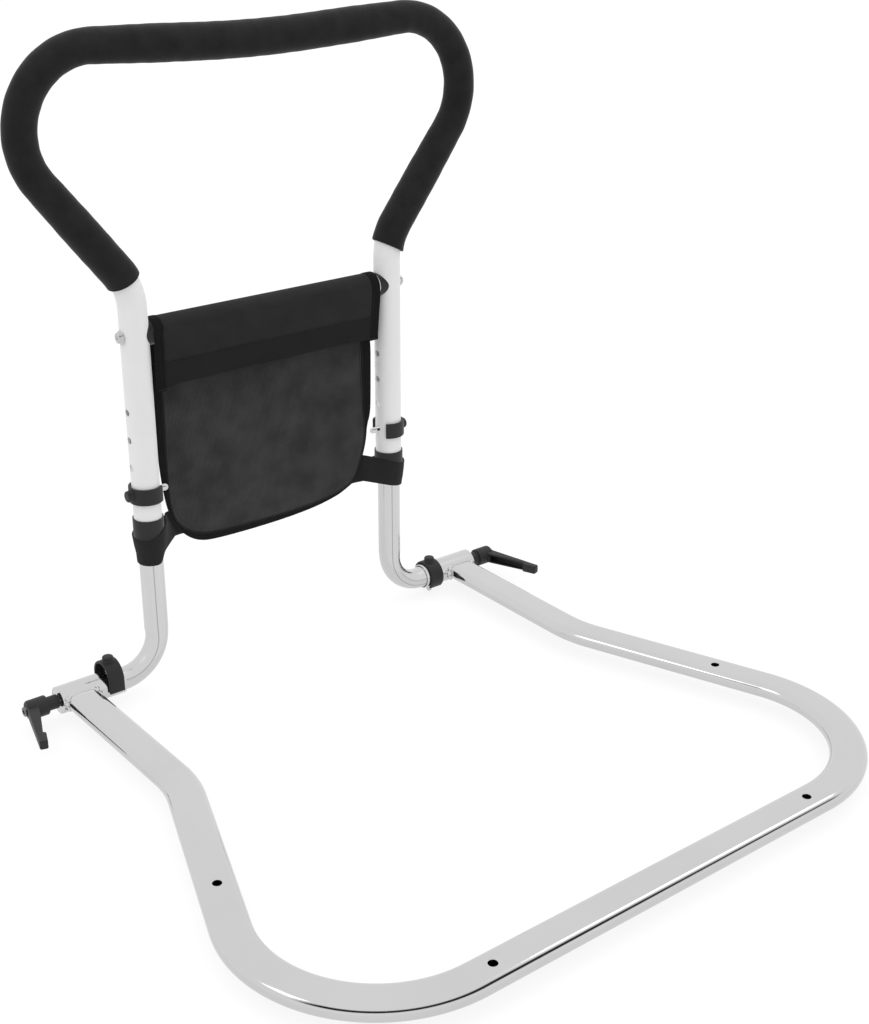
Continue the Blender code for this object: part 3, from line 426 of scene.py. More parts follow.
def chrome_plate(name, smoothest=0.07, roughest=0.13, streaks=0.0, seam_at=0.0, painted_reflection_half=0.0009):
    """Mirror-bright plate, smoky in patches. Drawn tube also has soft streaks and a painted dark reflection
    line.
    """
    material, tree, principled = new_material(name, (0.56, 0.56, 0.565), roughness=0.1, metallic=1.0)
    coordinates = put(tree, "ShaderNodeTexCoord")
    placed = grained(tree, coordinates.outputs["Object"], grain=90.0, patch=14.0, low=0.0, high=1.0)
    patches = placed.outputs["Patches"]
    tree.links.new(ranged(tree, patches, 0, 1, low=smoothest, high=roughest), principled.inputs["Roughness"])
    tint = ranged(tree, patches, 0, 1, low=0.57, high=0.55)
    if streaks:
        flat = coordinates.outputs["UV"]
        stretched = put(tree, "ShaderNodeMapping", {"Vector": flat, "Scale": (5, 420, 1)}).outputs["Vector"]
        drawn = put(tree, "ShaderNodeTexNoise", {"Vector": stretched, "Scale": 1.0, "Detail": 2.0})
        streak = ranged(tree, drawn.outputs["Fac"], 0.3, 0.7, 1 - streaks, 1 + streaks)
        # The seam is a painted reflection: the colour darkens along one line round the tube, where a dark
        # reflection falls.
        round_it = put(tree, "ShaderNodeSeparateXYZ", {"Vector": flat}).outputs["Y"]
        off_painted_reflection = sum_of(tree, "ABSOLUTE", sum_of(tree, "SUBTRACT", round_it, seam_at))
        seam = ranged(tree, off_painted_reflection, 0, painted_reflection_half, 0.55, 1, smooth=True)
        tint = sum_of(tree, "MULTIPLY", sum_of(tree, "MULTIPLY", tint, streak), seam)
    tree.links.new(tint, principled.inputs["Base Color"])
    bump(tree, principled, placed.outputs["Height"], strength=0.05, distance=0.0006)
    return material


CHROME = chrome_plate("chrome_plate")

corner_x = ARM_X + (LOOP_REACH - ARM_STRAIGHT) * math.tan(ARM_SPLAY)
half_loop = [(ARM_X, 0, 0), (ARM_X, -ARM_STRAIGHT, 0), (corner_x, -LOOP_REACH, 0)]
loop_route = bent_route([(-x, y, z) for x, y, z in half_loop] + half_loop[::-1], [LOOP_BEND_R] * 4)
distances = np.linspace(0, route_length(loop_route), LOOP_ROWS)
bore_oval = flat_oval(LOOP_WIDE - 2 * TUBE_WALL, LOOP_HIGH - 2 * TUBE_WALL)
outer = carried(loop_route, distances, flat_oval(LOOP_WIDE, LOOP_HIGH), UPWARDS)
inner = carried(loop_route, distances, bore_oval, UPWARDS)
for wall_grid in (outer, inner):
    for end in (0, -1):
        wall_grid[end, :, 1] = -np.sqrt((SLEEVE_OD / 2 - TUBE_WALL / 2) ** 2 - wall_grid[end, :, 2] ** 2)
loop_mesh = surface("loop_tube", np.concatenate([outer, inner[::-1]]), (True, True))
loop_tube = finished("loop_tube", loop_mesh, CHROME)
arm_hole_x = ARM_X + (ARM_HOLE_Y - ARM_STRAIGHT) * math.tan(ARM_SPLAY)
hole_xy = ((arm_hole_x, ARM_HOLE_Y), (BAR_HOLE_X, LOOP_REACH))
loop_holes = [np.array((side * x, -y, 0)) for side in SIDES.values() for x, y in hole_xy]
drill(loop_tube, [(place, UPWARDS, LOOP_HOLE_D / 2, 2 * LOOP_HIGH) for place in loop_holes])
hole_rims = [place + UPWARDS * LOOP_HIGH / 2 for place in loop_holes]
drill(loop_tube, [(place, UPWARDS, LOOP_HOLE_RIM_D / 2, 2 * LOOP_HOLE_RIM) for place in hole_rims])
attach(loop_tube, "base")
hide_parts("base_frame")

# Sleeves: a short chrome tube on each arm's end, in which a leg turns. Outside, a disc closes it. The arm is
# welded on all round: the bead is ground low on top, lumpy at the arm's two edges, and plated over.
SLEEVE_IN, SLEEVE_OUT, SLEEVE_BORE, SLEEVE_PIN_IN = 0.044, 0.019, 0.023, 0.033
BEAD_R_TOP, BEAD_R_EDGE, BEAD_RIPPLE, BEAD_PITCH = 0.0009, 0.0025, 0.36, 0.0038
BEAD_ROWS, BEAD_SIDES = 260, 14
PIN_HOLE_D = 0.0066
CLAMP_STUD_D, DISC_THICK, DISC_SUNK, DISC_FIT = 0.008, 0.003, 0.0003, 0.0001
EDGE, SLEEVE_EDGE, DISC_EDGE, CLEAR = 0.0003, 0.0004, 0.0002, 0.0003


def eased(corners, radius, turn_step=math.radians(18)):
    """A closed outline with every corner rounded by the same small arc."""
    corners = np.array(corners, float)
    middles = (corners + np.roll(corners, 1, axis=0)) / 2
    parts = [
        bent_route([middles[k], corners[k], middles[(k + 1) % len(corners)]], [radius], turn_step)[1:-1]
        for k in range(len(corners))
    ]
    return np.concatenate(parts)


def ring_wall(inner, outer, start, end, edge=EDGE):
    """A ring's section, in (radius, height), with its four corners rounded."""
    return eased([(outer, start), (outer, end), (inner, end), (inner, start)], edge)


def turned(outline, place, direction, points=72):
    """(radius, height) points turned about a line, to place + height * direction + radius * outwards."""
    direction = np.array(direction, float)
    first = np.cross(direction, (0.2, 1, 0.1) if abs(direction[1]) < 0.9 else (1, 0, 0))
    first /= np.linalg.norm(first)
    second = np.cross(direction, first)
    angle = np.linspace(0, 2 * math.pi, points, endpoint=False)[:, None]
    outwards = np.cos(angle) * first + np.sin(angle) * second
    outline = np.asarray(outline, float)
    return np.asarray(place, float) + outline[:, None, 1:] * direction + outline[:, None, :1] * outwards


def smooth_step(value, start, end):
    """0 before start, 1 after end, and 3t² - 2t³ between them."""
    t = np.clip((np.asarray(value, float) - start) / (end - start), 0, 1)
    return t * t * (3 - 2 * t)


def weld_bead(side):
    """A bead along the joint: a small ring section carried round the arm's oval where it meets the sleeve.

    The joint's points are the oval's, at y = -sqrt(sleeve radius squared - z squared). The section's radius
    grows towards the oval's two ends, and swells and shrinks there with each ripple of the weld.
    """
    oval = flat_oval(LOOP_WIDE, LOOP_HIGH, 200)
    on_sleeve = -np.sqrt((SLEEVE_OD / 2) ** 2 - oval[:, 1] ** 2)
    joint = np.stack([side * ARM_X + oval[:, 0], on_sleeve, oval[:, 1]], 1)
    joint = np.concatenate([joint, joint[:1]])
    length = route_length(joint)
    distance = np.linspace(0, length, BEAD_ROWS, endpoint=False)
    place, ahead = along(joint, distance)
    out = np.stack([place[:, 0] - side * ARM_X, np.zeros(BEAD_ROWS), place[:, 2]], 1)
    out -= ahead * (out * ahead).sum(1, keepdims=True)
    out /= np.linalg.norm(out, axis=1, keepdims=True)
    forward = np.cross(ahead, out)
    at_edge = smooth_step(np.abs(place[:, 0] - side * ARM_X), 0.5 * LOOP_WIDE / 2, 0.9 * LOOP_WIDE / 2)
    phase = 2 * math.pi * distance / length
    lumps = 0.7 * np.sin(phase * round(length / BEAD_PITCH)) + 0.3 * np.sin(phase * 11 + side)
    radius = (BEAD_R_TOP + (BEAD_R_EDGE - BEAD_R_TOP) * at_edge) * (1 + BEAD_RIPPLE * at_edge * lumps)
    angle = np.linspace(0, 2 * math.pi, BEAD_SIDES, endpoint=False)
    ring = np.cos(angle)[:, None] * out[:, None] + np.sin(angle)[:, None] * forward[:, None]
    return place[:, None] + radius[:, None, None] * ring


for label, side in SIDES.items():
    along_x = (side, 0, 0)
    start, end = ARM_X - SLEEVE_IN, ARM_X + SLEEVE_OUT
    sleeve_wall = ring_wall(SLEEVE_BORE / 2, SLEEVE_OD / 2, start, end, SLEEVE_EDGE)
    grid = turned(sleeve_wall, (0, 0, 0), along_x, points=96)
    sleeve = finished(f"sleeve_tube_{label}", surface("sleeve_tube", grid, (True, True)), CHROME)
    drill(sleeve, [((side * (ARM_X - SLEEVE_PIN_IN), 0, 0), UPWARDS, PIN_HOLE_D / 2, 2 * SLEEVE_OD)])
    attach(sleeve, "base")
    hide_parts(f"sleeve_{label}")
    stud_hole, rim = CLAMP_STUD_D / 2 + CLEAR, SLEEVE_BORE / 2 + DISC_FIT
    disc_wall = ring_wall(stud_hole, rim, end - DISC_THICK, end - DISC_SUNK, DISC_EDGE)
    grid = turned(disc_wall, (0, 0, 0), along_x, points=64)
    disc = finished(f"end_disc_{label}", surface("end_disc", grid, (True, True)), CHROME)
    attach(disc, "base")
    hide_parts(f"sleeve_disc_{label}")
    bead = finished(f"weld_bead_{label}", surface("weld_bead", weld_bead(side), (True, True)), CHROME)
    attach(bead, "base")

# Legs: round chrome tubes. Each goes up into the handle's tube, and at the bottom bends outwards into its
# sleeve. The bend has flattened the tube a little in its own plane. A black plug fills the end in the sleeve.
LEG_X, LEG_OD, LEG_BEND_R, LEG_TOP, LEG_END = 0.135, 0.0222, 0.0375, 0.215, 0.2349
LEG_FLATTENED, BEND_EASE, LEG_ROWS, TUBE_SIDES = 0.88, 0.004, 170, 64
PIN_HEIGHT = 0.1775
FACING = np.array([0.0, -1.0, 0.0])
# Where the painted dark reflection line runs round the legs, as a distance round the tube.
PAINTED_REFLECTION_AT = math.radians(70) * LEG_OD / 2
DRAWN_CHROME = chrome_plate("drawn_chrome", smoothest=0.13, roughest=0.2, streaks=0.045, seam_at=PAINTED_REFLECTION_AT)


def circle(radius, points=TUBE_SIDES):
    """Points round a circle, anticlockwise."""
    angle = np.linspace(0, 2 * math.pi, points, endpoint=False)
    return radius * np.stack([np.cos(angle), np.sin(angle)], 1)


def black_plastic(name, grey, roughness, grain, strength):
    """Moulded black plastic with a fine spark-eroded grain."""
    material, tree, principled = new_material(name, (grey, grey, grey * 1.03), roughness, specular=0.3)
    coordinates = put(tree, "ShaderNodeTexCoord").outputs["Object"]
    placed = grained(tree, coordinates, grain=grain, patch=55.0, low=grey * 0.85, high=grey * 1.15)
    tree.links.new(placed.outputs["Patches"], principled.inputs["Base Color"])
    bump(tree, principled, placed.outputs["Height"], strength=strength, distance=0.0003)
    return material


PLASTIC = black_plastic("black_plastic", grey=0.009, roughness=0.48, grain=1800.0, strength=0.15)

for label, side in SIDES.items():
    leg_corners = [(side * x, 0, z) for x, z in ((LEG_X, LEG_TOP), (LEG_X, 0), (LEG_END, 0))]
    route = bent_route(leg_corners, [LEG_BEND_R])
    distances = np.linspace(0, route_length(route), LEG_ROWS)
    bend_start = LEG_TOP - LEG_BEND_R
    bend_length = LEG_BEND_R * math.pi / 2
    within = np.clip((distances - bend_start + BEND_EASE) / (bend_length + 2 * BEND_EASE), 0, 1)
    squeeze = 1 - (1 - LEG_FLATTENED) * np.sin(math.pi * within) ** 0.6
    squeezed = np.stack([squeeze, np.ones_like(squeeze)], 1)[:, None]
    outer = carried(route, distances, circle(LEG_OD / 2) * squeezed, FACING)
    inner = carried(route, distances, circle(LEG_OD / 2 - TUBE_WALL) * squeezed, FACING)
    wall = np.concatenate([outer, inner[::-1]])
    lengthwise = np.concatenate([distances, distances[::-1], [0]])
    drawn = flat_places(lengthwise, np.linspace(0, math.pi * LEG_OD, TUBE_SIDES + 1))
    leg = finished(f"leg_tube_{label}", surface("leg_tube", wall, (True, True), drawn), DRAWN_CHROME)
    leg_holes = [
        ((side * LEG_X, 0, PIN_HEIGHT), (1, 0, 0), PIN_HOLE_D / 2, 2 * LEG_OD),
        ((side * (ARM_X - SLEEVE_PIN_IN), 0, 0), UPWARDS, PIN_HOLE_D / 2, 2 * LEG_OD),
    ]
    drill(leg, leg_holes)
    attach(leg, "uprights")
    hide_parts(f"leg_{label}")
    frame["nodes"][f"leg_plug_{label}"].data.materials[0] = PLASTIC

# Handle tube: white powder coat on steel. It goes up over the left leg, out, round the shoulders, across the
# slightly sagging top and down over the right leg. Four holes in each side set its height.
HANDLE_OD, HANDLE_BORE, HANDLE_BOTTOM = 0.0254, 0.023, 0.134
BOW_BEND, BOW_BEND_R, BOW_FLARE = 0.3664, 0.056, math.radians(37.4)
BOW_TOP, SHOULDER_R = 0.559, 0.065
SAG, SAG_R = math.radians(2.7), 1.25
HOLE_PITCH, HOLE_COUNT, SCREW_HEIGHT, BOW_ROWS = 0.026, 4, 0.3241, 520


def white_coat():
    """Satin white powder coat with a faint orange peel."""
    material, tree, principled = new_material(
        "white_coat", (0.645, 0.645, 0.65), roughness=0.35, specular=0.35
    )
    coordinates = put(tree, "ShaderNodeTexCoord").outputs["Object"]
    placed = grained(tree, coordinates, grain=900.0, patch=30.0, low=0.0, high=1.0)
    patches = placed.outputs["Patches"]
    tree.links.new(ranged(tree, patches, 0, 1, low=0.31, high=0.40), principled.inputs["Roughness"])
    tree.links.new(ranged(tree, patches, 0, 1, low=0.655, high=0.635), principled.inputs["Base Color"])
    bump(tree, principled, placed.outputs["Height"], strength=0.12, distance=0.0004)
    return material


WHITE = white_coat()

slope = math.tan(SAG)
rise = (BOW_TOP + slope * LEG_X - BOW_BEND) / (1 / math.tan(BOW_FLARE) - slope)
shoulder = (LEG_X + rise, 0, BOW_BEND + rise / math.tan(BOW_FLARE))
half_bow = [(LEG_X, 0, HANDLE_BOTTOM), (LEG_X, 0, BOW_BEND), shoulder]
bow_corners = [(-x, y, z) for x, y, z in half_bow] + [(0, 0, BOW_TOP)] + half_bow[::-1]
bow_route = bent_route(bow_corners, [BOW_BEND_R, SHOULDER_R, SAG_R, SHOULDER_R, BOW_BEND_R])
bow_length = route_length(bow_route)
distances = np.linspace(0, bow_length, BOW_ROWS)
outer = carried(bow_route, distances, circle(HANDLE_OD / 2), FACING)
inner = carried(bow_route, distances, circle(HANDLE_BORE / 2), FACING)
bow = finished("bow_tube", surface("bow_tube", np.concatenate([outer, inner[::-1]]), (True, True)), WHITE)
height_holes = [
    ((side * LEG_X, 0, PIN_HEIGHT + k * HOLE_PITCH), (1, 0, 0), PIN_HOLE_D / 2, 2 * HANDLE_OD)
    for side in SIDES.values()
    for k in range(HOLE_COUNT)
]
drill(bow, height_holes)
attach(bow, "handle")
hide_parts("handle_bow")

# Foam grip: a soft black foam tube pulled over the bow and cut inside each lower bend, lower down and a
# little askew on the right. Round the shoulders it is stretched thinner.
FOAM_R, FOAM_R_SHOULDER, FOAM_EDGE, FOAM_GAP, FOAM_ROWS = 0.0155, 0.0142, 0.0012, 0.0002, 420
FOAM_CUT = {"left": math.radians(27), "right": math.radians(12.5)}
FOAM_ASKEW, FOAM_ASKEW_OVER = math.radians(15), 0.025
FOAM_RIPPLE, FOAM_END_ROWS, FOAM_SIDES = 0.00012, 6, 72


def black_foam():
    """Closed-cell foam: matt, pitted very finely, with a soft sheen where it turns away."""
    material, tree, principled = new_material(
        "black_foam", (0.011, 0.011, 0.0115), roughness=0.9, specular=0.12
    )
    principled.inputs["Sheen Weight"].default_value = 0.16
    principled.inputs["Sheen Roughness"].default_value = 0.4
    coordinates = put(tree, "ShaderNodeTexCoord").outputs["Object"]
    placed = grained(tree, coordinates, grain=1400.0, patch=60.0, low=0.0095, high=0.0145)
    tree.links.new(placed.outputs["Patches"], principled.inputs["Base Color"])
    bump(tree, principled, placed.outputs["Height"], strength=0.35, distance=0.0004)
    return material


FOAM = black_foam()

to_bend = BOW_BEND - HANDLE_BOTTOM - BOW_BEND_R * math.tan(BOW_FLARE / 2)
grip_start = to_bend + BOW_BEND_R * FOAM_CUT["left"]
grip_end = bow_length - to_bend - BOW_BEND_R * FOAM_CUT["right"]
inset_at = FOAM_EDGE * (1 - np.sin(np.linspace(0, math.pi / 2, FOAM_END_ROWS)))
ease_at = FOAM_EDGE * (1 - np.cos(np.linspace(0, math.pi / 2, FOAM_END_ROWS)))
between = np.linspace(grip_start + 2 * FOAM_EDGE, grip_end - 2 * FOAM_EDGE, FOAM_ROWS)
distances = np.concatenate([grip_start + ease_at, between, grip_end - ease_at[::-1]])
trim = np.concatenate([inset_at, np.zeros(FOAM_ROWS), inset_at[::-1]])
place, ahead = along(bow_route, distances, reach=0.012)
far_out = np.interp(np.abs(place[:, 0]), (0.10, 0.165, 0.24), (0, 1, 1))
high_up = np.interp(place[:, 2], (0.42, 0.475, 0.60), (0, 1, 1))
radius = FOAM_R - (FOAM_R - FOAM_R_SHOULDER) * (far_out * high_up) - trim
radius = radius + FOAM_RIPPLE * np.sin(distances * 310) * np.sin(distances * 83 + 1)
bore = HANDLE_OD / 2 + FOAM_GAP + 0.6 * trim
askew = -math.tan(FOAM_ASKEW) * smooth_step(distances, grip_end - FOAM_ASKEW_OVER, grip_end)
foam_walls = []
for wall in (radius, bore):
    outlines = circle(1.0, FOAM_SIDES) * wall[:, None, None]
    slant = outlines[..., :1] * askew[:, None, None] * ahead[:, None]
    foam_walls.append(carried(bow_route, distances, outlines, FACING) + slant)
grip_grid = np.concatenate([foam_walls[0], foam_walls[1][::-1]])
grip = finished("grip_foam", surface("grip_foam", grip_grid, (True, True)), FOAM)
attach(grip, "handle")
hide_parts("foam_grip")

# Collars: moulded black bushes on the handle tube's lower ends, which steady the legs. They taper below the
# tube's end.
COLLAR_TOP, COLLAR_BOTTOM, COLLAR_R, COLLAR_LOWER_R = 0.154, 0.126, 0.0140, 0.0130
SEATED = 0.0002

for label, side in SIDES.items():
    corners = [
        (COLLAR_R, COLLAR_TOP),
        (COLLAR_R, HANDLE_BOTTOM),
        (COLLAR_LOWER_R, COLLAR_BOTTOM),
        (LEG_OD / 2 + CLEAR, COLLAR_BOTTOM),
        (LEG_OD / 2 + CLEAR, HANDLE_BOTTOM - SEATED),
        (HANDLE_OD / 2 + SEATED, HANDLE_BOTTOM - SEATED),
        (HANDLE_OD / 2 + SEATED, COLLAR_TOP),
    ]
    grid = turned(eased(corners, EDGE), (side * LEG_X, 0, 0), UPWARDS)
    collar = finished(f"collar_bush_{label}", surface("collar_bush", grid, (True, True)), PLASTIC)
    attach(collar, "handle")
    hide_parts(f"collar_{label}")

# Crossbar: a white tube between the handle's uprights. A black plug at each end is coped to the upright. A
# zinc-plated socket screw through the upright holds it, with a washer under its head and a nut in the plug.
CROSSBAR_R, CROSSBAR_HALF, CROSSBAR_BORE_R = 0.0111, 0.120, 0.0099
PLUG_R, SPIGOT_END = 0.0113, 0.104
SCREW_R, SCREW_END, HEAD_R, HEAD_HIGH = 0.003, 0.103, 0.00475, 0.0025
HEAD_ROUNDED, HEAD_RIM, SCREW_POINTS = 0.0007, 0.0015, 48
WASHER_R, WASHER_HOLE_R, WASHER_THICK, UNDER_WASHER = 0.006, 0.0032, 0.001, 0.0001
SOCKET_ACROSS, SOCKET_DEEP, SOCKET_EDGE = 0.004, 0.0015, 0.0002


def plated_steel(name, grey, low, high):
    """Zinc-plated steel, slightly brushed: its roughness goes from low to high in patches."""
    material, tree, principled = new_material(name, (grey, grey, grey * 1.02), (low + high) / 2, metallic=1.0)
    coordinates = put(tree, "ShaderNodeTexCoord").outputs["Object"]
    placed = grained(tree, coordinates, grain=2200.0, patch=150.0, low=low, high=high)
    tree.links.new(placed.outputs["Patches"], principled.inputs["Roughness"])
    bump(tree, principled, placed.outputs["Height"], strength=0.1, distance=0.0002)
    return material


STEEL = plated_steel("zinc_steel", grey=0.50, low=0.22, high=0.36)


def socket_head(radius, start, high, shank_r, shank_end, place, direction):
    """A turned screw with a hexagon socket in its head.

    Round the socket its wall's radius is half the width across its flats, over the cosine of the angle from
    the nearest flat's middle.
    """
    top, bottom = start + high, start + high - SOCKET_DEEP
    shank = [(0, shank_end), (shank_r, shank_end), (shank_r, start), (radius - SOCKET_EDGE, start)]
    head = [(radius, start + SOCKET_EDGE), (radius, top), (radius - HEAD_RIM, top)]
    profile = np.concatenate([shank, bent_route(head, [HEAD_ROUNDED], 0.3)])
    grid = turned(profile, place, direction, SCREW_POINTS)
    angle = np.linspace(0, 2 * math.pi, SCREW_POINTS, endpoint=False)
    wall = SOCKET_ACROSS / 2 / np.cos((angle + math.pi / 6) % (math.pi / 3) - math.pi / 6)
    rings = [(wall + SOCKET_EDGE, top), (wall, top - SOCKET_EDGE), (wall, bottom), (wall * 0, bottom)]
    direction = np.array(direction, float)
    middle = np.asarray(place, float)
    rim = (grid[-1] - middle) - direction * ((grid[-1] - middle) @ direction)[:, None]
    rim /= np.linalg.norm(rim, axis=1, keepdims=True)
    sunk = [middle + direction * depth + rim * reach[:, None] for reach, depth in rings]
    return np.concatenate([grid, np.array(sunk)])


bar_middle = (0, 0, SCREW_HEIGHT)
grid = turned(ring_wall(CROSSBAR_BORE_R, CROSSBAR_R, -CROSSBAR_HALF, CROSSBAR_HALF), bar_middle, (1, 0, 0))
crossbar = finished("crossbar_tube", surface("crossbar_tube", grid, (True, True)), WHITE)
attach(crossbar, "handle")
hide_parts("crossbar")

for label, side in SIDES.items():
    spigot_r, foot = CROSSBAR_BORE_R - SEATED, CROSSBAR_HALF + SEATED
    corners = [(0, SPIGOT_END), (spigot_r, SPIGOT_END), (spigot_r, foot), (PLUG_R - EDGE, foot)]
    corners += [(PLUG_R, CROSSBAR_HALF + 2 * EDGE), (PLUG_R, LEG_X), (0, LEG_X)]
    grid = turned(corners, bar_middle, (side, 0, 0))
    coped = LEG_X - np.sqrt((HANDLE_OD / 2) ** 2 - grid[-2:, :, 1] ** 2)
    grid[-2:, :, 0] = side * coped
    plug = finished(f"bar_plug_{label}", surface("bar_plug", grid), PLASTIC, sharp=35)
    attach(plug, "handle")
    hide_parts(f"crossbar_plug_{label}")
    washer_start = LEG_X + HANDLE_OD / 2 + UNDER_WASHER
    washer_end = washer_start + WASHER_THICK
    washer_wall = ring_wall(WASHER_HOLE_R, WASHER_R, washer_start, washer_end)
    grid = turned(washer_wall, bar_middle, (side, 0, 0), SCREW_POINTS)
    washer = finished(f"bar_washer_{label}", surface("bar_washer", grid, (True, True)), STEEL)
    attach(washer, "handle")
    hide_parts(f"crossbar_washer_{label}")
    head_start = washer_end + UNDER_WASHER
    grid = socket_head(HEAD_R, head_start, HEAD_HIGH, SCREW_R, SCREW_END, bar_middle, (side, 0, 0))
    screw = finished(f"bar_screw_{label}", surface("bar_screw", grid), STEEL, sharp=35)
    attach(screw, "handle")
    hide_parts(f"crossbar_screw_{label}")
    frame["nodes"][f"crossbar_nut_{label}"].data.materials[0] = STEEL

# Pouch cloth: one piece of black coated cloth. It is the pocket's back, goes up over the crossbar and hangs
# in front as a flap, whose end is folded under and sewn as a deep hem. It creases along the crossbar's front.
MM = 0.001
POUCH_TOP, WRAP_R, WRAP_STEP, FLAP_END = 0.292, 0.0125, 0.8 * MM, 0.2762
FLAP_LINE = [(-0.01245, 0.3215), (-0.01255, 0.316), (-0.0112, 0.2755), (-0.0110, 0.268)]
BACK_Y, CLOTH_THICK, SEAM_HALF = 0.0075, 0.001, 0.0009
SEAM_HEIGHT, CREASE_ANGLE = 0.2994, math.radians(163)
FLAP_LEFT, FLAP_LEFT_AT_TUBE, FLAP_RIGHT, FLAP_RIGHT_END = -0.1229, -0.1218, 0.118, 0.1152
FREE_FROM, FREE_TO, LEFT_POCKET_BY = 0.006, 0.022, 0.02
SEAM_Y, SEAM_Y_FURTHER, SEAM_BACK_FROM = 0.0038, 0.0028, 0.255
EDGE_STEP, SEAM_POINTS, POUCH_COLUMNS = 0.5 * MM, 260, 72
BACK_INSET, BACK_ROWS, WRAP_DEGREES = 0.5, 56, np.arange(-8, 164, 3)
# The pouch's edge in mm, down its left side, along the bottom and up the right: x, the height above the fold
# axis, and how wide the edging shows there
POUCH_EDGE = MM * np.array(
    [
        (-119.0, 292, 9.5),
        (-118.6, 208, 8.0),
        (-117.2, 184, 6.2),
        (-113.2, 154, 3.6),
        (-107.0, 138, 2.4),
        (-98.0, 124, 6.0),
        (-84.0, 114, 8.4),
        (-66.0, 110.5, 8.0),
        (-5.0, 109.7, 7.2),
        (42.0, 112.1, 5.4),
        (71.5, 117.4, 4.2),
        (84.0, 122.4, 2.4),
        (96.5, 129, 2.6),
        (105.5, 153, 2.4),
        (110.0, 170, 2.2),
        (111.0, 183, 3.6),
        (115.2, 194, 9.0),
        (116.3, 208, 10.9),
        (117.2, 264, 13.7),
        (117.5, 292, 14.1),
    ]
)
LEFT_CORNER, RIGHT_CORNER = (-0.1000, 0.1265), (0.0960, 0.1285)


def weave_group():
    """Plain weave over a flat map in metres: Height is its threads' backs, and Shade is darker between them.

    A thread's back is the absolute sine across it, and warp and weft come up by turns, square by square.
    """
    group, given, result = node_group(
        "weave",
        {
            "Vector": ("NodeSocketVector", None),
            "Threads": ("NodeSocketFloat", 1500.0),
            "Low": ("NodeSocketFloat", 0.0),
            "High": ("NodeSocketFloat", 1.0),
        },
        {"Height": "NodeSocketFloat", "Shade": "NodeSocketFloat"},
    )
    flat = put(group, "ShaderNodeSeparateXYZ", {"Vector": given["Vector"]}).outputs
    counted = [sum_of(group, "MULTIPLY", flat[axis], given["Threads"]) for axis in "XY"]
    waves = [sum_of(group, "SINE", sum_of(group, "MULTIPLY", part, math.pi)) for part in counted]
    backs = [sum_of(group, "ABSOLUTE", part) for part in waves]
    squares = sum_of(group, "ADD", *(sum_of(group, "FLOOR", part) for part in counted))
    by_turns = {"Factor": sum_of(group, "PINGPONG", squares, 1.0), "A": backs[0], "B": backs[1]}
    woven = put(group, "ShaderNodeMix", by_turns, data_type="FLOAT").outputs["Result"]
    crossed = sum_of(group, "MULTIPLY", *backs)
    height = sum_of(group, "MULTIPLY", woven, sum_of(group, "POWER", crossed, 0.3))
    group.links.new(height, result["Height"])
    group.links.new(ranged(group, height, 0.0, 0.9, given["Low"], given["High"]), result["Shade"])
    return group


WEAVE = weave_group()


def woven_black(name, grey, threads, sheen=0.0, contrast=0.35, strength=0.4, uneven=0.12, darker_past=None):
    """Black woven cloth over its flat map, uneven in patches. Past one length, in a hem, it is darker."""
    material, tree, principled = new_material(name, (grey, grey, grey * 1.02), roughness=0.85, specular=0.12)
    principled.inputs["Sheen Weight"].default_value = sheen
    principled.inputs["Sheen Roughness"].default_value = 0.5
    coordinates = put(tree, "ShaderNodeTexCoord").outputs
    low, high = grey * (1 - contrast), grey * (1 + contrast / 2)
    inputs = {"Vector": coordinates["UV"], "Threads": threads, "Low": low, "High": high}
    weave = put(tree, "ShaderNodeGroup", inputs, node_tree=WEAVE).outputs
    placed = grained(tree, coordinates["Object"], grain=700.0, patch=45.0, low=1 - uneven, high=1 + uneven)
    shade = sum_of(tree, "MULTIPLY", weave["Shade"], placed.outputs["Patches"])
    if darker_past:
        down_cloth = put(tree, "ShaderNodeSeparateXYZ", {"Vector": coordinates["UV"]}).outputs["X"]
        hem = ranged(tree, down_cloth, darker_past - MM, darker_past + MM, 1.0, 0.6, smooth=True)
        shade = sum_of(tree, "MULTIPLY", shade, hem)
    tree.links.new(shade, principled.inputs["Base Color"])
    bump(tree, principled, weave["Height"], strength=strength, distance=0.0003)
    return material


def filled(bottom, top, left, right):
    """A grid of points [row, column] between four edges that share their corners.

    Each point is its row's share between bottom and top, plus its column's share between left and right, less
    the same point between the four corners alone.
    """
    up = np.linspace(0, 1, len(left))[:, None, None]
    over = np.linspace(0, 1, len(bottom))[None, :, None]
    lower = (1 - over) * bottom[0] + over * bottom[-1]
    upper = (1 - over) * top[0] + over * top[-1]
    between = (1 - up) * bottom + up * top + (1 - over) * left[:, None] + over * right[:, None]
    return between - ((1 - up) * lower + up * upper)


def softened(points, times):
    """Points with cut corners: each pair gives one point a quarter and one three quarters of the way."""
    for _ in range(times):
        cut = np.stack([0.75 * points[:-1] + 0.25 * points[1:], 0.25 * points[:-1] + 0.75 * points[1:]], 1)
        points = np.concatenate([points[:1], cut.reshape(-1, points.shape[1]), points[-1:]])
    return points


def smoothed(points, times):
    """Rows of points, each drawn towards its two neighbours on both sides; the end rows stay."""
    for _ in range(times):
        padded_rows = np.concatenate([points[:1], points[:1], points, points[-1:], points[-1:]])
        shares = (1, 4, 6, 4, 1)
        mean = sum(share * padded_rows[k : k + len(points)] for k, share in enumerate(shares)) / 16
        points = np.concatenate([points[:1], mean[1:-1], points[-1:]])
    return points


def followed(path, passed, distance, step):
    """A path's values at distances along it, and the unit direction of the first two there."""

    def here(at):
        return np.stack([np.interp(at, passed, column) for column in path.T], -1)

    ahead = (here(distance + step) - here(distance - step))[..., :2]
    return here(distance), ahead / np.linalg.norm(ahead, axis=-1, keepdims=True)


def thicken(made, thickness):
    """Gives the sheet its thickness, half to each side."""
    solid = made.modifiers.new("thickness", "SOLIDIFY")
    solid.thickness = thickness
    solid.offset = 0
    apply_modifiers(made)


edge = softened(POUCH_EDGE, 4)
edge_passed = np.concatenate([[0], np.cumsum(np.linalg.norm(np.diff(edge[:, :2], axis=0), axis=1))])


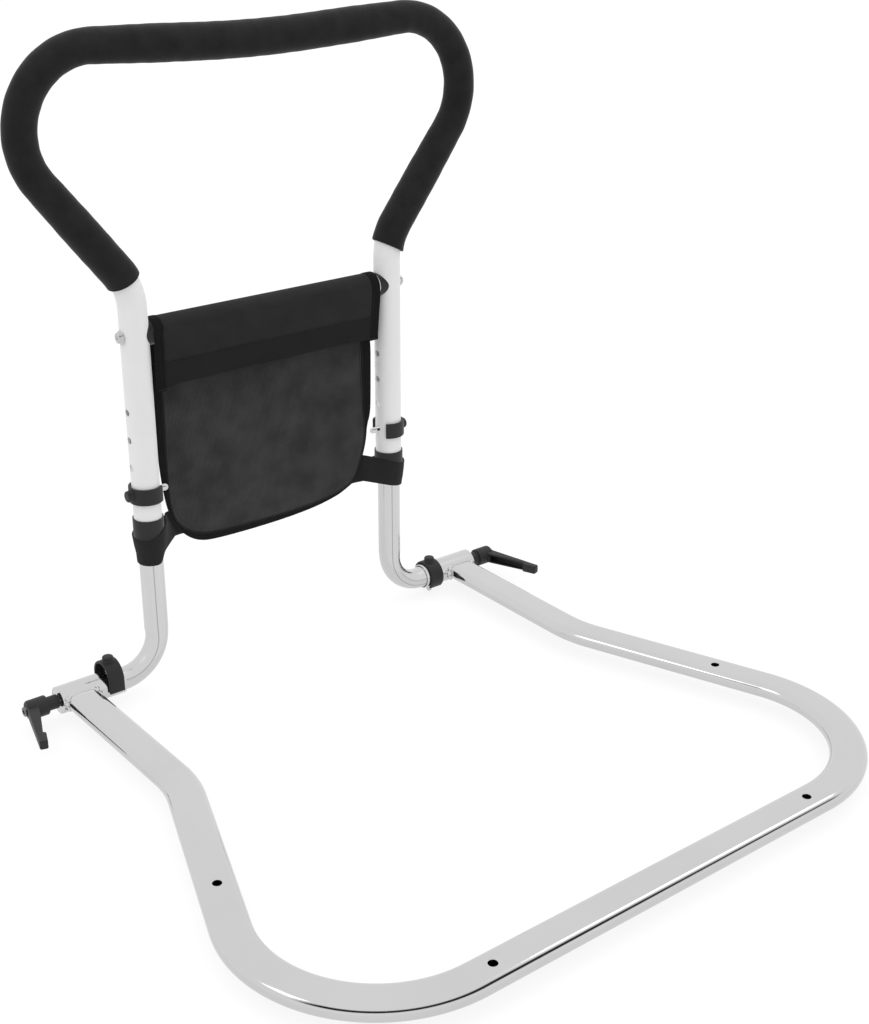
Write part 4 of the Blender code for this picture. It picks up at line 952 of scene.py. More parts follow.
def edge_at(distance, inset):
    """The pouch's edge at a distance along it, moved inwards by a share of the edging's width there.

    Gives the place, the direction inwards and the edging's width.
    """
    here, ahead = followed(edge, edge_passed, distance, EDGE_STEP)
    inwards = np.stack([-ahead[:, 1], ahead[:, 0]], -1)
    return here[:, :2] + inwards * here[:, 2:] * inset, inwards, here[:, 2]


def seam_y(height):
    """How far back the pocket's seam lies: between the two cloths' planes, nearer the back at the top."""
    return SEAM_Y + SEAM_Y_FURTHER * smooth_step(height, SEAM_BACK_FROM, POUCH_TOP)


def panel(inset, rows, columns):
    """The pocket's flat shape as a grid of (x, height), and how far each point is from its seam."""
    corners = (LEFT_CORNER, RIGHT_CORNER)
    corner_at = edge_passed[[np.linalg.norm(edge[:, :2] - corner, axis=1).argmin() for corner in corners]]
    left = edge_at(np.linspace(corner_at[0], 0, rows), inset)[0]
    right = edge_at(np.linspace(corner_at[1], edge_passed[-1], rows), inset)[0]
    bottom = edge_at(np.linspace(*corner_at, columns), inset)[0]
    share = np.linspace(0, 1, columns)[:, None]
    grid = filled(bottom, left[-1] * (1 - share) + right[-1] * share, left, right)
    seam = edge_at(np.linspace(0, edge_passed[-1], SEAM_POINTS), inset)[0]
    return grid, np.linalg.norm(grid[:, :, None] - seam, axis=-1).min(-1)


def wave(value, length, phase=0.0):
    """The sine of a value over its wavelength."""
    return np.sin(2 * math.pi * value / length + phase)


def ridge(value, middle, wide):
    """A rounded ridge, 1 along its middle: exp(-((value - middle) / wide)²)."""
    return np.exp(-(((value - middle) / wide) ** 2))


flat_back, from_seam = panel(BACK_INSET, BACK_ROWS, POUCH_COLUMNS)
seam = seam_y(flat_back[..., 1]) + SEAM_HALF
ripple = wave(flat_back[..., 0], 0.11, 1) * wave(flat_back[..., 1], 0.13)
back_y = seam + (BACK_Y - seam) * smooth_step(from_seam, 0, 0.016)
back_y = back_y + 0.5 * MM * smooth_step(from_seam, 0, 0.05) * ripple
back_grid = np.stack([flat_back[..., 0], back_y, flat_back[..., 1]], -1)

turn = np.radians(WRAP_DEGREES)
over_bar = np.stack([WRAP_R * np.cos(turn), SCREW_HEIGHT + WRAP_R * np.sin(turn)], 1)
wrap_path = np.concatenate([[(BACK_Y, POUCH_TOP)], over_bar, FLAP_LINE])
wrap_path = smoothed(along(wrap_path, np.arange(0, route_length(wrap_path), WRAP_STEP))[0], 2)
wrap_passed = WRAP_STEP * np.arange(len(wrap_path))
crease_height = SCREW_HEIGHT + WRAP_R * math.sin(CREASE_ANGLE)
on_front = np.flatnonzero((wrap_path[:, 0] < 0) & (wrap_path[:, 1] < crease_height))[0]
crease_at = wrap_passed[on_front]
front_heights = wrap_path[on_front:, 1]
seam_at = wrap_passed[on_front + np.abs(front_heights - SEAM_HEIGHT).argmin()]
flap_end_at = wrap_passed[on_front + np.abs(front_heights - FLAP_END).argmin()]


def wrap_at(distance):
    """The wrap's (y, height) and its direction away from the crossbar, at a distance from the back's top."""
    place, ahead = followed(wrap_path, wrap_passed, distance, WRAP_STEP)
    return place, np.stack([ahead[..., 1], -ahead[..., 0]], -1)


def wrap_sides(distance):
    """Both sides' outer edges at a distance along the wrap. In front the left one lies over the upright."""
    y = wrap_at(distance)[0][..., 0]
    past_upright = (FLAP_LEFT - FLAP_LEFT_AT_TUBE) * smooth_step(-y, 0.006, 0.011)
    left = np.where(distance < crease_at, FLAP_LEFT_AT_TUBE, FLAP_LEFT_AT_TUBE + past_upright)
    off_pocket = smooth_step(distance, 0, LEFT_POCKET_BY)
    left = POUCH_EDGE[0, 0] + (left - POUCH_EDGE[0, 0]) * off_pocket
    right = POUCH_EDGE[-1, 0] + (FLAP_RIGHT - POUCH_EDGE[-1, 0]) * off_pocket
    right = right + (FLAP_RIGHT_END - FLAP_RIGHT) * smooth_step(distance, crease_at, flap_end_at)
    return {SIDES["left"]: left, SIDES["right"]: right}


def flap_extra(x):
    """How much lower than its middle the flap's end hangs: at both corners."""
    return 3.6 * MM * smooth_step(-x, 0.100, 0.116) + 1.5 * MM * smooth_step(x, 0.102, 0.113)


wrap_distance = np.arange(WRAP_STEP, flap_end_at, WRAP_STEP)
wrap_edges = wrap_sides(wrap_distance)
share = np.linspace(0, 1, POUCH_COLUMNS)
near_pocket = 1 - smooth_step(wrap_distance, 0, LEFT_POCKET_BY)
inside = 4.5 * MM * near_pocket + 2.5 * MM
left_x = (wrap_edges[SIDES["left"]] + inside)[:, None]
right_x = (wrap_edges[SIDES["right"]] - inside - 2.5 * MM * near_pocket)[:, None]
wrap_x = left_x * (1 - share) + right_x * share
at = wrap_distance[:, None] + flap_extra(wrap_x) * smooth_step(wrap_distance, seam_at, flap_end_at)[:, None]
place, away = wrap_at(at)
free = smooth_step(wrap_x, FLAP_LEFT + FREE_FROM, FLAP_LEFT + FREE_TO)
free = free * smooth_step(-wrap_x, FREE_FROM - FLAP_RIGHT, FREE_TO - FLAP_RIGHT)
# The swell out of the wrap's even line, in tenths of a millimetre: round the crease, in slow waves down the
# flap, out over the folded hem and in along its seam
crease_line = crease_at + 1.1 * MM * wave(wrap_x, 0.071, 0.6) + 0.8 * MM * wave(wrap_x, 0.029, 2)
above_crease = 0.25 * MM * ridge(at, crease_line - 4 * MM, 3 * MM) * (1 + wave(wrap_x, 0.043, 1))
creased = above_crease - 0.55 * MM * ridge(at, crease_line, 1.7 * MM)
rolling = 0.45 * MM * wave(wrap_x, 0.093, 0.8) + 0.2 * MM * wave(wrap_x, 0.041)
rolling = rolling * smooth_step(at, crease_at, flap_end_at)
hemmed = 0.25 * MM * smooth_step(at, seam_at - MM, seam_at + MM)
drawn_in = 0.45 * MM * ridge(at, seam_at, 0.9 * MM) * (1 + 0.3 * wave(wrap_x, 0.009))
swell = free * (creased + rolling) + hemmed - drawn_in
wrap_grid = np.stack([wrap_x, place[..., 0] + away[..., 0] * swell, place[..., 1] + away[..., 1] * swell], -1)
cloth_grid = np.concatenate([back_grid, wrap_grid])
back_flat = flat_back[..., ::-1] - (POUCH_TOP, 0)
cloth_flat = np.concatenate([back_flat, np.stack([at, wrap_x], -1)])

POUCH_CLOTH = woven_black("pouch_cloth", grey=0.0165, threads=1650.0, sheen=0.03, darker_past=seam_at)
pouch = finished("pouch_cloth", surface("pouch_cloth", cloth_grid, (False, False), cloth_flat), POUCH_CLOTH)
thicken(pouch, CLOTH_THICK)
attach(pouch, "handle")
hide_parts("pouch_back")

# Pocket net: a fine close net in front of the cloth, sewn in with it at the sides and bottom. It stands away
# a little from the cloth, and its top edge, folded over into a narrow hem, is hidden behind the flap.
NET_Y, NET_THICK, NET_INSET, NET_ROWS = 0.0012, 0.0007, 0.62, 60


def banded(middle, across, out, half_wide, half_thick, power=0.4, points=28):
    """A grid for a flat band: a rounded section round each middle point, closed at both ends.

    The section is middle + half_wide * c * across + half_thick * s * out. c and s are the cosine and the sine
    of an angle, their sizes raised to a power, which makes a rectangle with round corners.
    """
    angle = np.linspace(0, 2 * math.pi, points, endpoint=False) + math.pi / points
    c = (np.sign(np.cos(angle)) * np.abs(np.cos(angle)) ** power)[None, :, None]
    s = (np.sign(np.sin(angle)) * np.abs(np.sin(angle)) ** power)[None, :, None]
    wide = np.broadcast_to(half_wide, len(middle))[:, None, None]
    thick = np.broadcast_to(half_thick, len(middle))[:, None, None]
    across, out = (np.broadcast_to(part, middle.shape)[:, None] for part in (across, out))
    ring = middle[:, None] + wide * c * across + thick * s * out
    closing = [np.repeat(middle[end][None, None], points, axis=1) for end in (0, -1)]
    return np.concatenate([closing[0], ring, closing[1]])


flat_net, from_seam = panel(NET_INSET, NET_ROWS, POUCH_COLUMNS)
seam = seam_y(flat_net[..., 1]) - SEAM_HALF
ripple = wave(flat_net[..., 0], 0.15, 0.5) + wave(flat_net[..., 1], 0.19, 1)
net_y = seam - (seam - NET_Y) * smooth_step(from_seam, 0, 0.022)
net_y = net_y - 1.2 * MM * smooth_step(from_seam, 0.01, 0.09)
net_y = net_y - 0.5 * MM * smooth_step(from_seam, 0.01, 0.06) * ripple
net_grid = np.stack([flat_net[..., 0], net_y, flat_net[..., 1]], -1)
POUCH_NET = woven_black("pouch_net", grey=0.033, threads=800.0, contrast=0.55, strength=0.6, uneven=0.25)
net = finished("pouch_net", surface("pouch_net", net_grid, (False, False), flat_net[..., ::-1]), POUCH_NET)
thicken(net, NET_THICK)
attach(net, "handle")
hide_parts("pouch_mesh")

# Edging: a tape folded over the cut edges and sewn through. It runs down one side of the pocket, along its
# bottom and up the other. Two more tapes go from there over the crossbar and down the flap's sides, and a
# narrow one hems the net's top.
EDGING_THICK, EDGING_LEAST, EDGING_POINTS = 0.0032, 0.0012, 300
TAPE_WIDE, TAPE_THICK = 0.0095, 0.002
TAPE_AT_POCKET = {"left": TAPE_WIDE, "right": 0.0138}
HEM_DOWN, HEM_HALF_HIGH, HEM_HALF_THICK = 0.003, 0.0035, 0.0008
EDGING = woven_black("edging_tape", grey=0.0055, threads=1150.0, contrast=0.3, strength=0.5)
edge_distance = np.linspace(0, edge_passed[-1], EDGING_POINTS)
middle_line, inwards, shown = edge_at(edge_distance, 0.5)
middle = np.stack([middle_line[:, 0], seam_y(middle_line[:, 1]), middle_line[:, 1]], 1)
across = np.stack([inwards[:, 0], np.zeros(len(inwards)), inwards[:, 1]], 1)
edging_grid = banded(middle, across, (0, 1, 0), np.maximum(shown / 2, EDGING_LEAST), EDGING_THICK / 2)
ends = np.concatenate([edge_distance[:1], edge_distance, edge_distance[-1:]])
edging_flat = flat_places(ends, np.linspace(0, 0.02, edging_grid.shape[1] + 1))
edging = finished("pouch_edging", surface("pouch_edging", edging_grid, uv=edging_flat), EDGING)
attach(edging, "handle")
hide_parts("pouch_binding")

tape_distance = np.arange(0, flap_end_at + 0.2 * MM, WRAP_STEP)
for label, side in SIDES.items():
    wide = TAPE_WIDE + (TAPE_AT_POCKET[label] - TAPE_WIDE) * (1 - smooth_step(tape_distance, 0, 0.025))
    middle_x = wrap_sides(tape_distance)[side] - side * wide / 2
    at = tape_distance + flap_extra(middle_x) * smooth_step(tape_distance, seam_at, flap_end_at)
    place, away = wrap_at(at)
    lift = 0.25 * MM * smooth_step(at, seam_at - MM, seam_at + MM)
    middle = np.stack([middle_x, place[:, 0] + away[:, 0] * lift, place[:, 1] + away[:, 1] * lift], 1)
    out = np.stack([np.zeros(len(at)), away[:, 0], away[:, 1]], 1)
    tape_grid = banded(middle, (side, 0, 0), out, wide / 2, TAPE_THICK / 2)
    ends = np.concatenate([tape_distance[:1], tape_distance, tape_distance[-1:]])
    tape_flat = flat_places(ends, np.linspace(0, 0.021, tape_grid.shape[1] + 1))
    tape = finished(f"flap_tape_{label}", surface("flap_tape", tape_grid, uv=tape_flat), EDGING)
    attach(tape, "handle")

top_row = net_grid[-1]
net_hem = banded(top_row - UPWARDS * HEM_DOWN, UPWARDS, (0, 1, 0), HEM_HALF_HIGH, HEM_HALF_THICK)
ends = np.concatenate([top_row[:1, 0], top_row[:, 0], top_row[-1:, 0]])
hem_flat = flat_places(ends, np.linspace(0, 0.015, net_hem.shape[1] + 1))
hem = finished("net_hem", surface("net_hem", net_hem, uv=hem_flat), EDGING)
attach(hem, "handle")

# Sewing: black thread. A close row lies along the net's edge against the edging: one unbroken black band,
# which also paints the shade where the net meets the edging. Plain stitches go along the hem, the tapes and
# the edging's back, with a zigzag tack at each of the flap's lower corners.
STITCH_PITCH, STITCH_LONG, THREAD_R = 0.0031, 0.0025, 0.00026
TACK_THREAD, TACK_POINTS = {"pitch": 0.0016, "long": 0.0015, "radius": 0.0003}, 15
HEM_POINTS, SIDE_POINTS, BACK_POINTS, ROUND_POINTS, ROW_POINTS = 60, 40, 20, 400, 320


def black_thread():
    """Dull black sewing thread."""
    material, tree, principled = new_material(
        "black_thread", (0.004, 0.004, 0.004), roughness=0.6, specular=0.2
    )
    coordinates = put(tree, "ShaderNodeTexCoord").outputs["Object"]
    placed = grained(tree, coordinates, grain=5000.0, patch=800.0, low=0.0025, high=0.006)
    tree.links.new(placed.outputs["Patches"], principled.inputs["Base Color"])
    bump(tree, principled, placed.outputs["Height"], strength=0.4, distance=0.0001)
    return material


THREAD = black_thread()


def stitches(route, out, pitch=STITCH_PITCH, long=STITCH_LONG, radius=THREAD_R):
    """Grids [stitch, ring, point, xyz] of short threads along a route, each arched a little out of the cloth.

    As t goes from 0 to 1 a thread's middle runs along the route and rises by radius * (1 - (2t - 1)²). Its
    own radius grows from nothing and shrinks to nothing again.
    """
    route = np.asarray(route, float)
    count = max(1, int(route_length(route) / pitch))
    t = np.array([0, 0.1, 0.5, 0.9, 1])
    place, ahead = along(route, (pitch * np.arange(count)[:, None] + long * t).ravel())
    out = np.array(out, float)
    side = np.cross(ahead, out)
    side /= np.linalg.norm(side, axis=1, keepdims=True)
    place = place + out * np.tile(radius * (1 - (2 * t - 1) ** 2), count)[:, None]
    thick = np.tile(radius * np.array([0, 0.8, 1, 0.8, 0]), count)[:, None, None]
    angle = np.linspace(0, 2 * math.pi, 6, endpoint=False)[None, :, None]
    ring = place[:, None] + thick * (np.cos(angle) * side[:, None] + np.sin(angle) * out)
    return ring.reshape(count, len(t), 6, 3)


def sewn(name, grids):
    """One mesh of many small grids of the same size, each closed round its columns."""
    grids = np.concatenate(grids)
    count, rows, columns = grids.shape[:3]
    faces = grid_faces(rows, columns, (False, True))[2]
    faces = (np.arange(count)[:, None, None] * rows * columns + faces).reshape(-1, 4)
    mesh = bpy.data.meshes.new(name)
    mesh.from_pydata((grids.reshape(-1, 3) + AXIS).tolist(), [], faces.tolist())
    return mesh


def on_wrap(x, distance, lift):
    """Points at the places x and the distances along the wrap, lifted off its middle layer."""
    place, away = wrap_at(distance)
    return np.concatenate([x[..., None], place + away * lift], -1)


in_front = np.array([0, -1, 0])
hem_x = np.linspace(FLAP_LEFT + TAPE_WIDE, FLAP_RIGHT_END - TAPE_WIDE, HEM_POINTS)
rows_of_stitches = [stitches(on_wrap(hem_x, np.full(HEM_POINTS, seam_at), 0.3 * MM), in_front)]
for side in SIDES.values():
    down = np.linspace(crease_at + 4 * MM, flap_end_at - MM, SIDE_POINTS)
    seam_x = wrap_sides(down)[side] - side * (TAPE_WIDE - 1.4 * MM)
    rows_of_stitches.append(stitches(on_wrap(seam_x, down, 1.3 * MM), in_front))
    corner_x = wrap_sides(np.array([flap_end_at]))[side]
    zigzag = corner_x - side * np.linspace(MM, TAPE_WIDE + 4 * MM, TACK_POINTS)
    low = flap_end_at - 2.2 * MM + 1.2 * MM * (np.arange(TACK_POINTS) % 2) + flap_extra(zigzag)
    rows_of_stitches.append(stitches(on_wrap(zigzag, low, 1.4 * MM), in_front, **TACK_THREAD))
    up_back = np.linspace(0, 0.028, BACK_POINTS)
    seam_x = wrap_sides(up_back)[side] - side * 7 * MM
    rows_of_stitches.append(stitches(on_wrap(seam_x, up_back, 1.1 * MM), -in_front))
for out in (in_front, -in_front):
    line = edge_at(np.linspace(0, edge_passed[-1], ROUND_POINTS), 0.8)[0]
    depth = seam_y(line[:, 1]) + out[1] * (EDGING_THICK / 2 - 0.02 * MM)
    rows_of_stitches.append(stitches(np.stack([line[:, 0], depth, line[:, 1]], 1), out))
sewing = finished("pouch_stitches", sewn("pouch_stitches", rows_of_stitches), THREAD)
# The close row is one black band: the stitches there together with painted shade where the net meets the
# edging.
seam_line = edge_at(np.linspace(4 * MM, edge_passed[-1] - 4 * MM, ROW_POINTS), 1.02)[0]
seam_middle = np.stack([seam_line[:, 0], seam_y(seam_line[:, 1]) - 1.4 * MM, seam_line[:, 1]], 1)
across = np.gradient(seam_middle, axis=0)
across = np.cross(across / np.linalg.norm(across, axis=1, keepdims=True), (0, 1, 0))
seam_and_shade_grid = banded(seam_middle, across, (0, 1, 0), 0.6 * MM, 0.5 * MM, 1.0, 8)
seam_and_shade_band = finished("edging_seam", surface("edging_seam", seam_and_shade_grid), THREAD)
for thread in (sewing, seam_and_shade_band):
    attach(thread, "handle")

# Straps: webbing that ties the pouch to the legs. Each is sewn to the pouch's back, comes forward round the
# collar, hugs it and the leg below it, and goes back to its own start. The left one has slipped down outside.
STRAP_THICK, STRAP_WIDE, STRAP_TAIL_IN, STRAP_LAYER_Y = 0.0011, 0.027, 0.084, (0.0087, 0.0099)
STRAP_COLUMNS, STRAP_TURN_ROWS, STRAP_END_ROWS, STRAP_TOUCH_R = 15, 72, 14, 0.0145
STRAP_ANGLES = (-131, -122, -110, -90, -60, -30, 10, 45, 101)
# Each strap's lower and upper edge in mm above the fold axis: where it leaves the pouch in front, at each
# angle round the leg, by the front and the outer side to the back, and where it comes back to the pouch
STRAPS = {
    "left": {
        "bends_at": (0.103, 0.1135),
        "lower": (124.6, 119.6, 113.5, 110.3, 109.7, 109.8, 109.9, 110.5, 111.5, 116.5, 122.5),
        "upper": (149.0, 146.5, 145.0, 142.5, 139.7, 136.8, 136.0, 136.6, 138.0, 141.5, 145.0),
    },
    "right": {
        "bends_at": (0.100, 0.1065),
        "lower": (126.6, 120.4, 119.8, 119.4, 118.4, 117.4, 117.0, 117.0, 117.5, 119.0, 123.0),
        "upper": (151.8, 148.6, 147.4, 146.6, 144.4, 141.8, 141.4, 142.5, 143.2, 143.4, 143.5),
    },
}
WEBBING = woven_black("strap_webbing", grey=0.0140, threads=900.0, contrast=0.4, strength=0.6, sheen=0.03)


def strap_radius(height):
    """The strap's middle layer stands clear of the leg at the bottom and of the collar above."""
    return np.interp(height, (0.106, 0.119, 0.126, 0.134, 0.150), (0.0120, 0.0126, 0.0138, 0.0148, 0.0160))


def strap_grid(side, bends_at, lower, upper):
    """The strap's middle layer as a grid [along, across], the pouch lying towards -X before it is mirrored.

    In plan it runs from its sewn end to where it bends, then straight to the point where it touches a circle
    round the leg, round that circle and back likewise. It touches at the angle of the bend plus or minus the
    arc cosine of radius over distance. Its heights are read off between those of its two edges.
    """
    over = np.linspace(0, 1, STRAP_COLUMNS)[None, :]
    bend_x = np.interp(over, (0, 1), bends_at) - LEG_X
    lower, upper = MM * np.array(lower), MM * np.array(upper)

    def touching(y, sense):
        return np.arctan2(y, bend_x) + sense * np.arccos(STRAP_TOUCH_R / np.hypot(bend_x, y))

    first, last = touching(STRAP_LAYER_Y[0], 1), touching(STRAP_LAYER_Y[1], -1) + 2 * math.pi
    turn = first + np.linspace(0, 1, STRAP_TURN_ROWS)[:, None] * (last - first)
    edges = [np.interp(np.degrees(turn) - 360, STRAP_ANGLES, edge[1:-1]) for edge in (lower, upper)]
    height = edges[0] * (1 - over) + edges[1] * over
    radius = strap_radius(height)
    wrap = np.stack([radius * np.cos(turn), radius * np.sin(turn), height], -1)
    share = np.linspace(0, 1, STRAP_END_ROWS)[:, None, None]
    parts = []
    for end, y in zip((0, -1), STRAP_LAYER_Y):
        end_height = (lower[end] * (1 - over) + upper[end] * over)[0]
        end_y = np.full(STRAP_COLUMNS, y)
        bend = np.stack([bend_x[0], end_y, end_height], -1)
        sewn_end = np.stack([np.full(STRAP_COLUMNS, STRAP_TAIL_IN - LEG_X), end_y, end_height], -1)
        to_bend = sewn_end * (1 - share) + bend * share
        to_leg = bend * (1 - share) + wrap[end] * share
        parts.append(np.concatenate([to_bend, to_leg[1:-1]]))
    grid = smoothed(np.concatenate([parts[0], wrap, parts[1][::-1]]), 3)
    return np.stack([side * (LEG_X + grid[..., 0]), grid[..., 1], grid[..., 2]], -1)


for label, side in SIDES.items():
    grid = strap_grid(side, **STRAPS[label])
    middle = grid[:, STRAP_COLUMNS // 2]
    passed = np.concatenate([[0], np.cumsum(np.linalg.norm(np.diff(middle, axis=0), axis=1))])
    flat = flat_places(passed, np.linspace(0, STRAP_WIDE, STRAP_COLUMNS))
    strap = finished(f"leg_strap_{label}", surface("leg_strap", grid, (False, False), flat), WEBBING)
    thicken(strap, STRAP_THICK)
    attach(strap, "handle")
    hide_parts(f"strap_{label}")
    (a, b), (c, d) = [(row[2], row[-3]) for row in (grid[-3], grid[-STRAP_END_ROWS])]
    box = [(a, b), (c, d), (a, c), (b, d)]
    lines = [stitches(np.array(pair) + (0, STRAP_THICK / 2, 0), (0, 1, 0)) for pair in box]
    tack = finished(f"strap_stitches_{label}", sewn("strap_stitches", lines), THREAD)
    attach(tack, "handle")

# Height pins: a chromed pin goes through the handle's tube and the leg. It is moulded into a black clip,
# which snaps round the tube and is open on the inner side.
CLIP_THICK, CLIP_WIDE, CLIP_GAP = 0.0025, 0.015, 0.0004
CLIP_WRAP, CLIP_CLOSED, CLIP_ARM = math.radians(270), math.radians(180), 0.01127
CLIP_TURN_ROWS, CLIP_ARM_ROWS, CLIP_SQUARE, CLIP_POINTS = 80, 6, 0.22, 36
BOSS_R, BOSS_HIGH, BOSS_FOOT, BOSS_SUNK, PIN_R = 0.00525, 0.004, 0.0009, 0.0003, 0.003
HEIGHT_PIN_REACH, SLEEVE_PIN_REACH, LEFT_PIN_RAISED = 0.0094, 0.007, 0.0084
CLIP_MIDDLE_R = HANDLE_OD / 2 + CLIP_GAP + CLIP_THICK / 2
CLIP_PLASTIC = black_plastic("clip_plastic", grey=0.0085, roughness=0.5, grain=1600.0, strength=0.18)


def clip_band(place, out, sideways, axis, wrap, arm):
    """The clip's band: a flat section carried along an arc about the tube, with a straight arm at each end.

    A point of the arc is place + radius * (cos * out + sin * sideways).
    """
    angle = np.linspace(-wrap / 2, wrap / 2, CLIP_TURN_ROWS)
    if arm:
        angle = np.concatenate([[-wrap / 2] * CLIP_ARM_ROWS, angle, [wrap / 2] * CLIP_ARM_ROWS])
    radial = np.cos(angle)[:, None] * out + np.sin(angle)[:, None] * sideways
    middle = place + CLIP_MIDDLE_R * radial
    if arm:
        beyond = np.linspace(arm / CLIP_ARM_ROWS, arm, CLIP_ARM_ROWS)
        reach = np.concatenate([-beyond[::-1], np.zeros(CLIP_TURN_ROWS), beyond])
        ahead = -np.sin(angle)[:, None] * out + np.cos(angle)[:, None] * sideways
        middle = middle + ahead * reach[:, None]
    return banded(middle, axis, radial, CLIP_WIDE / 2, CLIP_THICK / 2, CLIP_SQUARE, CLIP_POINTS)


def clip_and_pin(kind, label, body, place, out, sideways, wrap, arm, reach):
    """The clip with its boss, and the pin that it holds, both riding on one body."""
    place, out, sideways = (np.array(part, float) for part in (place, out, sideways))
    axis = np.cross(out, sideways)
    band = surface("clip", clip_band(place, out, sideways, axis, wrap, arm))
    clip = finished(f"{kind}_clip_{label}", band, CLIP_PLASTIC)
    outside = CLIP_MIDDLE_R + CLIP_THICK / 2
    base, top, inside = outside - BOSS_SUNK, outside + BOSS_HIGH, CLIP_MIDDLE_R - 2 * BOSS_SUNK
    foot = [(0, inside), (BOSS_R + BOSS_FOOT, inside), (BOSS_R + BOSS_FOOT, base)]
    body_corners = [
        (BOSS_R + 0.8 * MM, base),
        (BOSS_R, base + 0.9 * MM),
        (BOSS_R - 0.1 * MM, top),
        (MM, top + 0.1 * MM),
    ]
    body_line = bent_route(body_corners, [1.0 * MM, 1.3 * MM], 0.2)[1:]
    profile = np.concatenate([foot, body_line, [(0, top + 0.1 * MM)]])
    boss = finished("boss", surface("boss", turned(profile, place, out, points=48)), CLIP_PLASTIC)
    work(clip, boss, "UNION", sharp=38)
    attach(clip, body)
    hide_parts(f"{kind}_clip_{label}")
    tip = -HANDLE_OD / 2 - reach
    nose = np.linspace(0, math.pi / 2, 8)
    nose_points = np.stack([PIN_R * np.cos(nose), tip + PIN_R - PIN_R * np.sin(nose)], 1)
    profile = np.concatenate([[(0, CLIP_MIDDLE_R), (PIN_R, CLIP_MIDDLE_R)], nose_points])
    profile[-1, 0] = 0
    rod = surface("pin_rod", turned(profile, place, out, points=40))
    pin = finished(f"{kind}_pin_rod_{label}", rod, CHROME, sharp=50)
    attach(pin, body)
    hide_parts(f"{kind}_pin_{label}")


for label, side in SIDES.items():
    place = (side * LEG_X, 0, PIN_HEIGHT)
    directions = (side, 0, 0), (0, side, 0)
    clip_and_pin("height", label, f"height_lock_{label}", place, *directions, CLIP_WRAP, 0, HEIGHT_PIN_REACH)

# Sleeve pins: the same, down through the sleeve and the leg's end from above. The left one stands raised, its
# clip opened to a U; the right one is pushed home.
for label, side in SIDES.items():
    raised = LEFT_PIN_RAISED if side < 0 else 0.0
    shape = (CLIP_CLOSED, CLIP_ARM) if side < 0 else (CLIP_WRAP, 0)
    place = (side * (ARM_X - SLEEVE_PIN_IN), 0, raised)
    directions = (0, 0, 1), (0, 1, 0)
    clip_and_pin("sleeve", label, f"sleeve_lock_{label}", place, *directions, *shape, SLEEVE_PIN_REACH)

# Clamping levers: a moulded black lever on each sleeve's end turns a steel stud against the leg. Pulled out,
# it slips round on its toothed insert; a socket screw and a spring inside hold it on.
CLAMP_FROM = ARM_X + SLEEVE_OUT
NECK_START, NECK_R, NECK_EDGE = 0.0010, 0.0065, 0.0004
HUB, HUB_R, HUB_EASED = (0.0115, 0.0302), 0.0091, [0.0007, 0.0010, 0.0026]
LEVER_ARM, LEVER_TILT, LEVER_MIDDLE, LEVER_EDGE = 0.065, math.radians(17), 0.0250, 0.0014
ARM_OUTER, ARM_INNER, ARM_HIGH = (0.0052, 0.0032), (0.0064, 0.0023), (0.0114, 0.0086)
TIP_BLOCK_FROM, TIP_BLOCK_INNER, TIP_BLOCK_STEP = 0.0495, (0.0050, 0.0042), 0.0012
RECESS_FROM, RECESS_TO, RECESS_WALL, RECESS_RIM = 0.0096, 0.0490, 0.0026, 0.0015
RECESS_PAST, RECESS_EDGE = 0.002, 0.0008
CLAMP_BORE_R, CLAMP_BORE_DEEP, INSERT_BORE_DEEP = 0.0048, 0.012, 0.024
CLAMP_HEAD_R, CLAMP_HEAD_HIGH, CLAMP_HEAD_END = 0.0045, 0.005, 0.0334
CLAMP_SCREW_R, CLAMP_SCREW_END = 0.0025, 0.0045
INSERT_R, INSERT_START, INSERT_END, INSERT_EDGE = 0.0049, 0.0002, 0.0153, 0.0002
INSERT_THREAD_R, INSERT_THREAD_END, STUD_INSIDE, STUD_EDGE = 0.0027, 0.0043, 0.0216, 0.0005
LEVER_PLASTIC = black_plastic("lever_plastic", grey=0.0125, roughness=0.5, grain=1300.0, strength=0.25)
DARK_STEEL = plated_steel("dark_steel", grey=0.17, low=0.3, high=0.42)


def arm_edges(distance):
    """How far the lever's outer and inner sides lie from its middle line, with the tip's block inside."""
    inner = np.interp(distance, (0, TIP_BLOCK_FROM), ARM_INNER)
    block = np.interp(distance, (TIP_BLOCK_FROM, LEVER_ARM), TIP_BLOCK_INNER)
    inner = inner + (block - inner) * smooth_step(distance, TIP_BLOCK_FROM, TIP_BLOCK_FROM + TIP_BLOCK_STEP)
    return np.interp(distance, (0, LEVER_ARM), ARM_OUTER), inner


def tapered(place, ahead, across, distances, wide, high, shift, edge_radius):
    """A grid for a bar: a rounded rectangle at each distance ahead of a place, closed at both ends.

    Each has its own width and shift across, and its own height upwards.
    """
    rings = []
    for distance, half_w, half_h, offset in zip(distances, wide / 2, high / 2, shift):
        radius = min(edge_radius, 0.9 * half_w, 0.9 * half_h)
        outline = eased([(-half_w, -half_h), (half_w, -half_h), (half_w, half_h), (-half_w, half_h)], radius)
        middle = place + ahead * distance + across * offset
        rings.append(middle + across * outline[:, :1] + UPWARDS * outline[:, 1:])
    closing = [np.repeat(ring.mean(0)[None, None], len(ring), axis=1) for ring in (rings[0], rings[-1])]
    return np.concatenate([closing[0], np.array(rings), closing[1]])


block_end = TIP_BLOCK_FROM + TIP_BLOCK_STEP * np.linspace(0.2, 1, 4)
closing_turn = np.linspace(0, math.pi / 2, 5)
arm_distances = np.concatenate(
    [
        np.linspace(0, TIP_BLOCK_FROM, 20),
        block_end,
        np.linspace(TIP_BLOCK_FROM + 3 * MM, LEVER_ARM - 2 * MM, 6),
        LEVER_ARM - LEVER_EDGE * (1 - np.sin(closing_turn)),
    ]
)
recess_distances = np.linspace(RECESS_FROM, RECESS_TO, 8)


